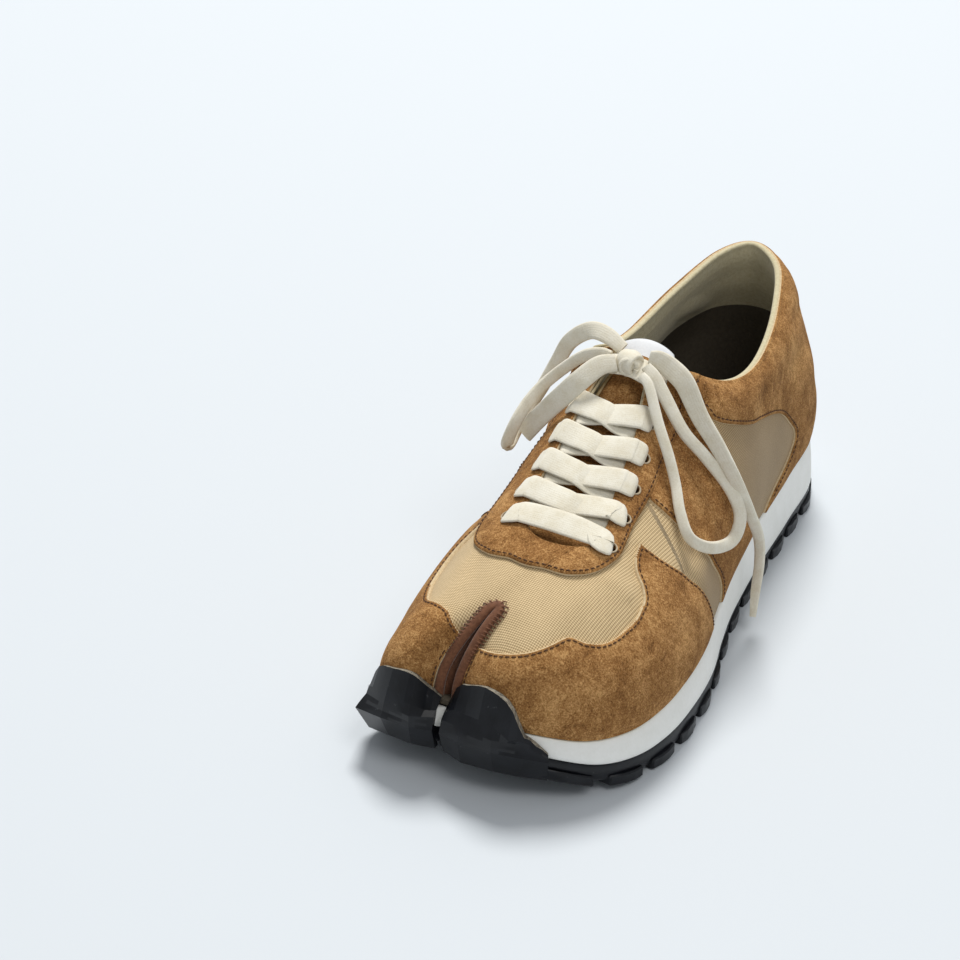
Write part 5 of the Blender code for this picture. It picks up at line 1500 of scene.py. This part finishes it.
def make_binding():
    """Leather piping on the two lips of the slit, joined round its top."""
    shares = np.linspace(0.0, CLEFT_TOP - 0.02, 12)
    lips = [(np.full(12, lip_rib(BINDING_ASIDE, side)), shares) for side in (1, -1)]
    crown = (np.array([lips[0][0][0], 13.5, lips[1][0][0]]), CLEFT_TOP + np.array([0.025, 0.050, 0.025]))
    ribs = np.concatenate([lips[0][0], crown[0], lips[1][0]])
    shares = np.concatenate([shares, crown[1], shares[::-1]])
    place, normal = skin(ribs, shares), skin_normal(ribs, shares)
    points = catmull(place + normal * BINDING_ABOVE, 5)
    facing = catmull(normal, 5)
    piece = ribbon_mesh("cleft_binding_leather", points, facing, BINDING_WIDTH, BINDING_DEPTH,
                        "binding", flat=0.8)
    ride(piece, "binding", "cleft_binding")
    whip_stitches(points, facing)


def whip_stitches(points, facing):
    """Short threads from the piping out over the canvas, round the end of the slit."""
    along = unit(np.gradient(points, axis=0))
    aside = unit(np.cross(along, facing))
    aside = aside * np.sign(np.sum(aside * (points - (points[4] + points[-5]) / 2), -1))[:, None]
    shape = bmesh.new()
    for i in range(30, len(points) - 30, 2):
        near = points[i] + facing[i] * 0.0011 + aside[i] * 0.0008
        far = points[i] - facing[i] * 0.0005 + aside[i] * 0.0030 + along[i] * 0.0006
        bend = (near + far) / 2 + facing[i] * 0.0006
        line = catmull(np.array([near, bend, far]), 3)
        thread = ribbon_mesh("whip", line, [facing[i]] * 7, 0.00055, 0.00045, "binding", 6, 0.9)
        shape.from_mesh(thread.data)
        bpy.data.objects.remove(thread)
    mesh = bpy.data.meshes.new("cleft_stitches")
    shape.to_mesh(mesh)
    shape.free()
    mesh.materials.append(LOOKS["binding"])
    ride(add_object("cleft_stitches", mesh), "binding")


def eyelet_spokes():
    """Place and normal of each eyelet, with the directions round it."""
    for row in range(EYELET_ROWS):
        for side in (-1, 1):
            place, normal = surface(*eyelet(row, side))
            first = unit(np.cross(normal, (0, 1, 0)))
            second = np.cross(normal, first)
            turns = [2 * math.pi * i / EYELET_POINTS for i in range(EYELET_POINTS)]
            yield place, normal, [first * math.cos(a) + second * math.sin(a) for a in turns]


def make_eyelet_rims():
    points, faces = [], []
    for place, normal, spokes in eyelet_spokes():
        base = len(points)
        for out in spokes:
            for k in range(6):
                b = math.pi * k / 3
                points.append(place + normal * (RIM_HEIGHT + math.sin(b) * RIM_RADIUS) * MM
                              + out * (EYELET_RADIUS + math.cos(b) * RIM_RADIUS * MM))
        faces += [[base + v for v in f] for f in grid_faces(EYELET_POINTS, 6, True, True)]
    ride(make_mesh("eyelet_rims", points, faces, [LOOKS["eyelet"]]), "suede")


def punch_eyelets(*pieces):
    """Round holes through the suede and the canvas at each eyelet."""
    points, faces = [], []
    for place, normal, spokes in eyelet_spokes():
        base, count = len(points), len(spokes)
        for height in (-0.005, 0.004):
            points += [place + normal * height + out * EYELET_RADIUS * EYELET_PUNCH for out in spokes]
        faces.append([base + i for i in range(count)])
        faces.append([base + 2 * count - 1 - i for i in range(count)])
        faces += [[base + v for v in f] for f in grid_faces(2, count, close_columns=True)]
    cutter = make_mesh("eyelet_punch", points, faces, [LOOKS["inside"]], smooth=0)
    for piece in pieces:
        modifier = piece.modifiers.new("eyelets", "BOOLEAN")
        modifier.operation = "DIFFERENCE"
        modifier.solver = "EXACT"
        modifier.object = cutter
        bpy.context.view_layer.update()
        graph = bpy.context.evaluated_depsgraph_get()
        punched = bpy.data.meshes.new_from_object(piece.evaluated_get(graph))
        piece.modifiers.clear()
        piece.data = punched
    bpy.data.objects.remove(cutter)


# Camera, floor and lights


def camera_axes():
    azimuth, elevation, roll = (math.radians(v) for v in (CAMERA_AZIMUTH, CAMERA_ELEVATION, CAMERA_ROLL))
    forward = np.array([-math.sin(azimuth) * math.cos(elevation),
                        math.cos(azimuth) * math.cos(elevation), -math.sin(elevation)])
    right = np.array([math.cos(azimuth), math.sin(azimuth), 0])
    up = np.cross(right, forward)
    return (right * math.cos(roll) + up * math.sin(roll),
            up * math.cos(roll) - right * math.sin(roll), forward)


CAMERA_FORWARD = camera_axes()[2]


def make_camera():
    right, up, forward = camera_axes()
    data = bpy.data.cameras.new("camera")
    data.lens, data.sensor_width = CAMERA_LENS, 36
    data.clip_start, data.clip_end = 0.01, 50
    camera = add_object("camera", data)
    turned = Matrix((right, up, -forward)).transposed().to_4x4()
    turned.translation = Vector(np.array(CAMERA_TARGET) - forward * CAMERA_DISTANCE)
    camera.matrix_world = turned
    bpy.context.scene.camera = camera


def make_light(name, place, size, power, colour, target):
    data = bpy.data.lights.new(name, "AREA")
    data.shape, data.size = "DISK", size
    data.energy, data.color = power, colour
    light = add_object(name, data)
    light.location = place
    light.rotation_euler = (Vector(target) - Vector(place)).to_track_quat("-Z", "Y").to_euler()


def make_stage():
    look, _, shader = new_look("floor", 0.6, 0.2)
    shader.inputs["Base Color"].default_value = (*FLOOR_COLOUR, 1)
    mesh = bpy.data.meshes.new("floor")
    mesh.from_pydata([(-6, -6, 0), (6, -6, 0), (6, 6, 0), (-6, 6, 0)], [], [(0, 1, 2, 3)])
    mesh.materials.append(look)
    floor = add_object("floor", mesh)
    world = bpy.data.worlds.new("studio")
    world.use_nodes = True
    background = world.node_tree.nodes["Background"]
    background.inputs["Color"].default_value = (*WORLD_COLOUR, 1)
    background.inputs["Strength"].default_value = WORLD_STRENGTH
    bpy.context.scene.world = world
    bpy.context.scene.view_settings.view_transform = "Standard"
    for row in LIGHTS:
        make_light(*row)


make_camera()
make_bow()
make_lace_rows()
make_stage()
cloth_upper = make_upper()
eyestay_piece = make_panels()
punch_eyelets(eyestay_piece, cloth_upper)
make_eyelet_rims()
make_tongue()
make_insole()
make_midsole()
make_outsole()
make_binding()
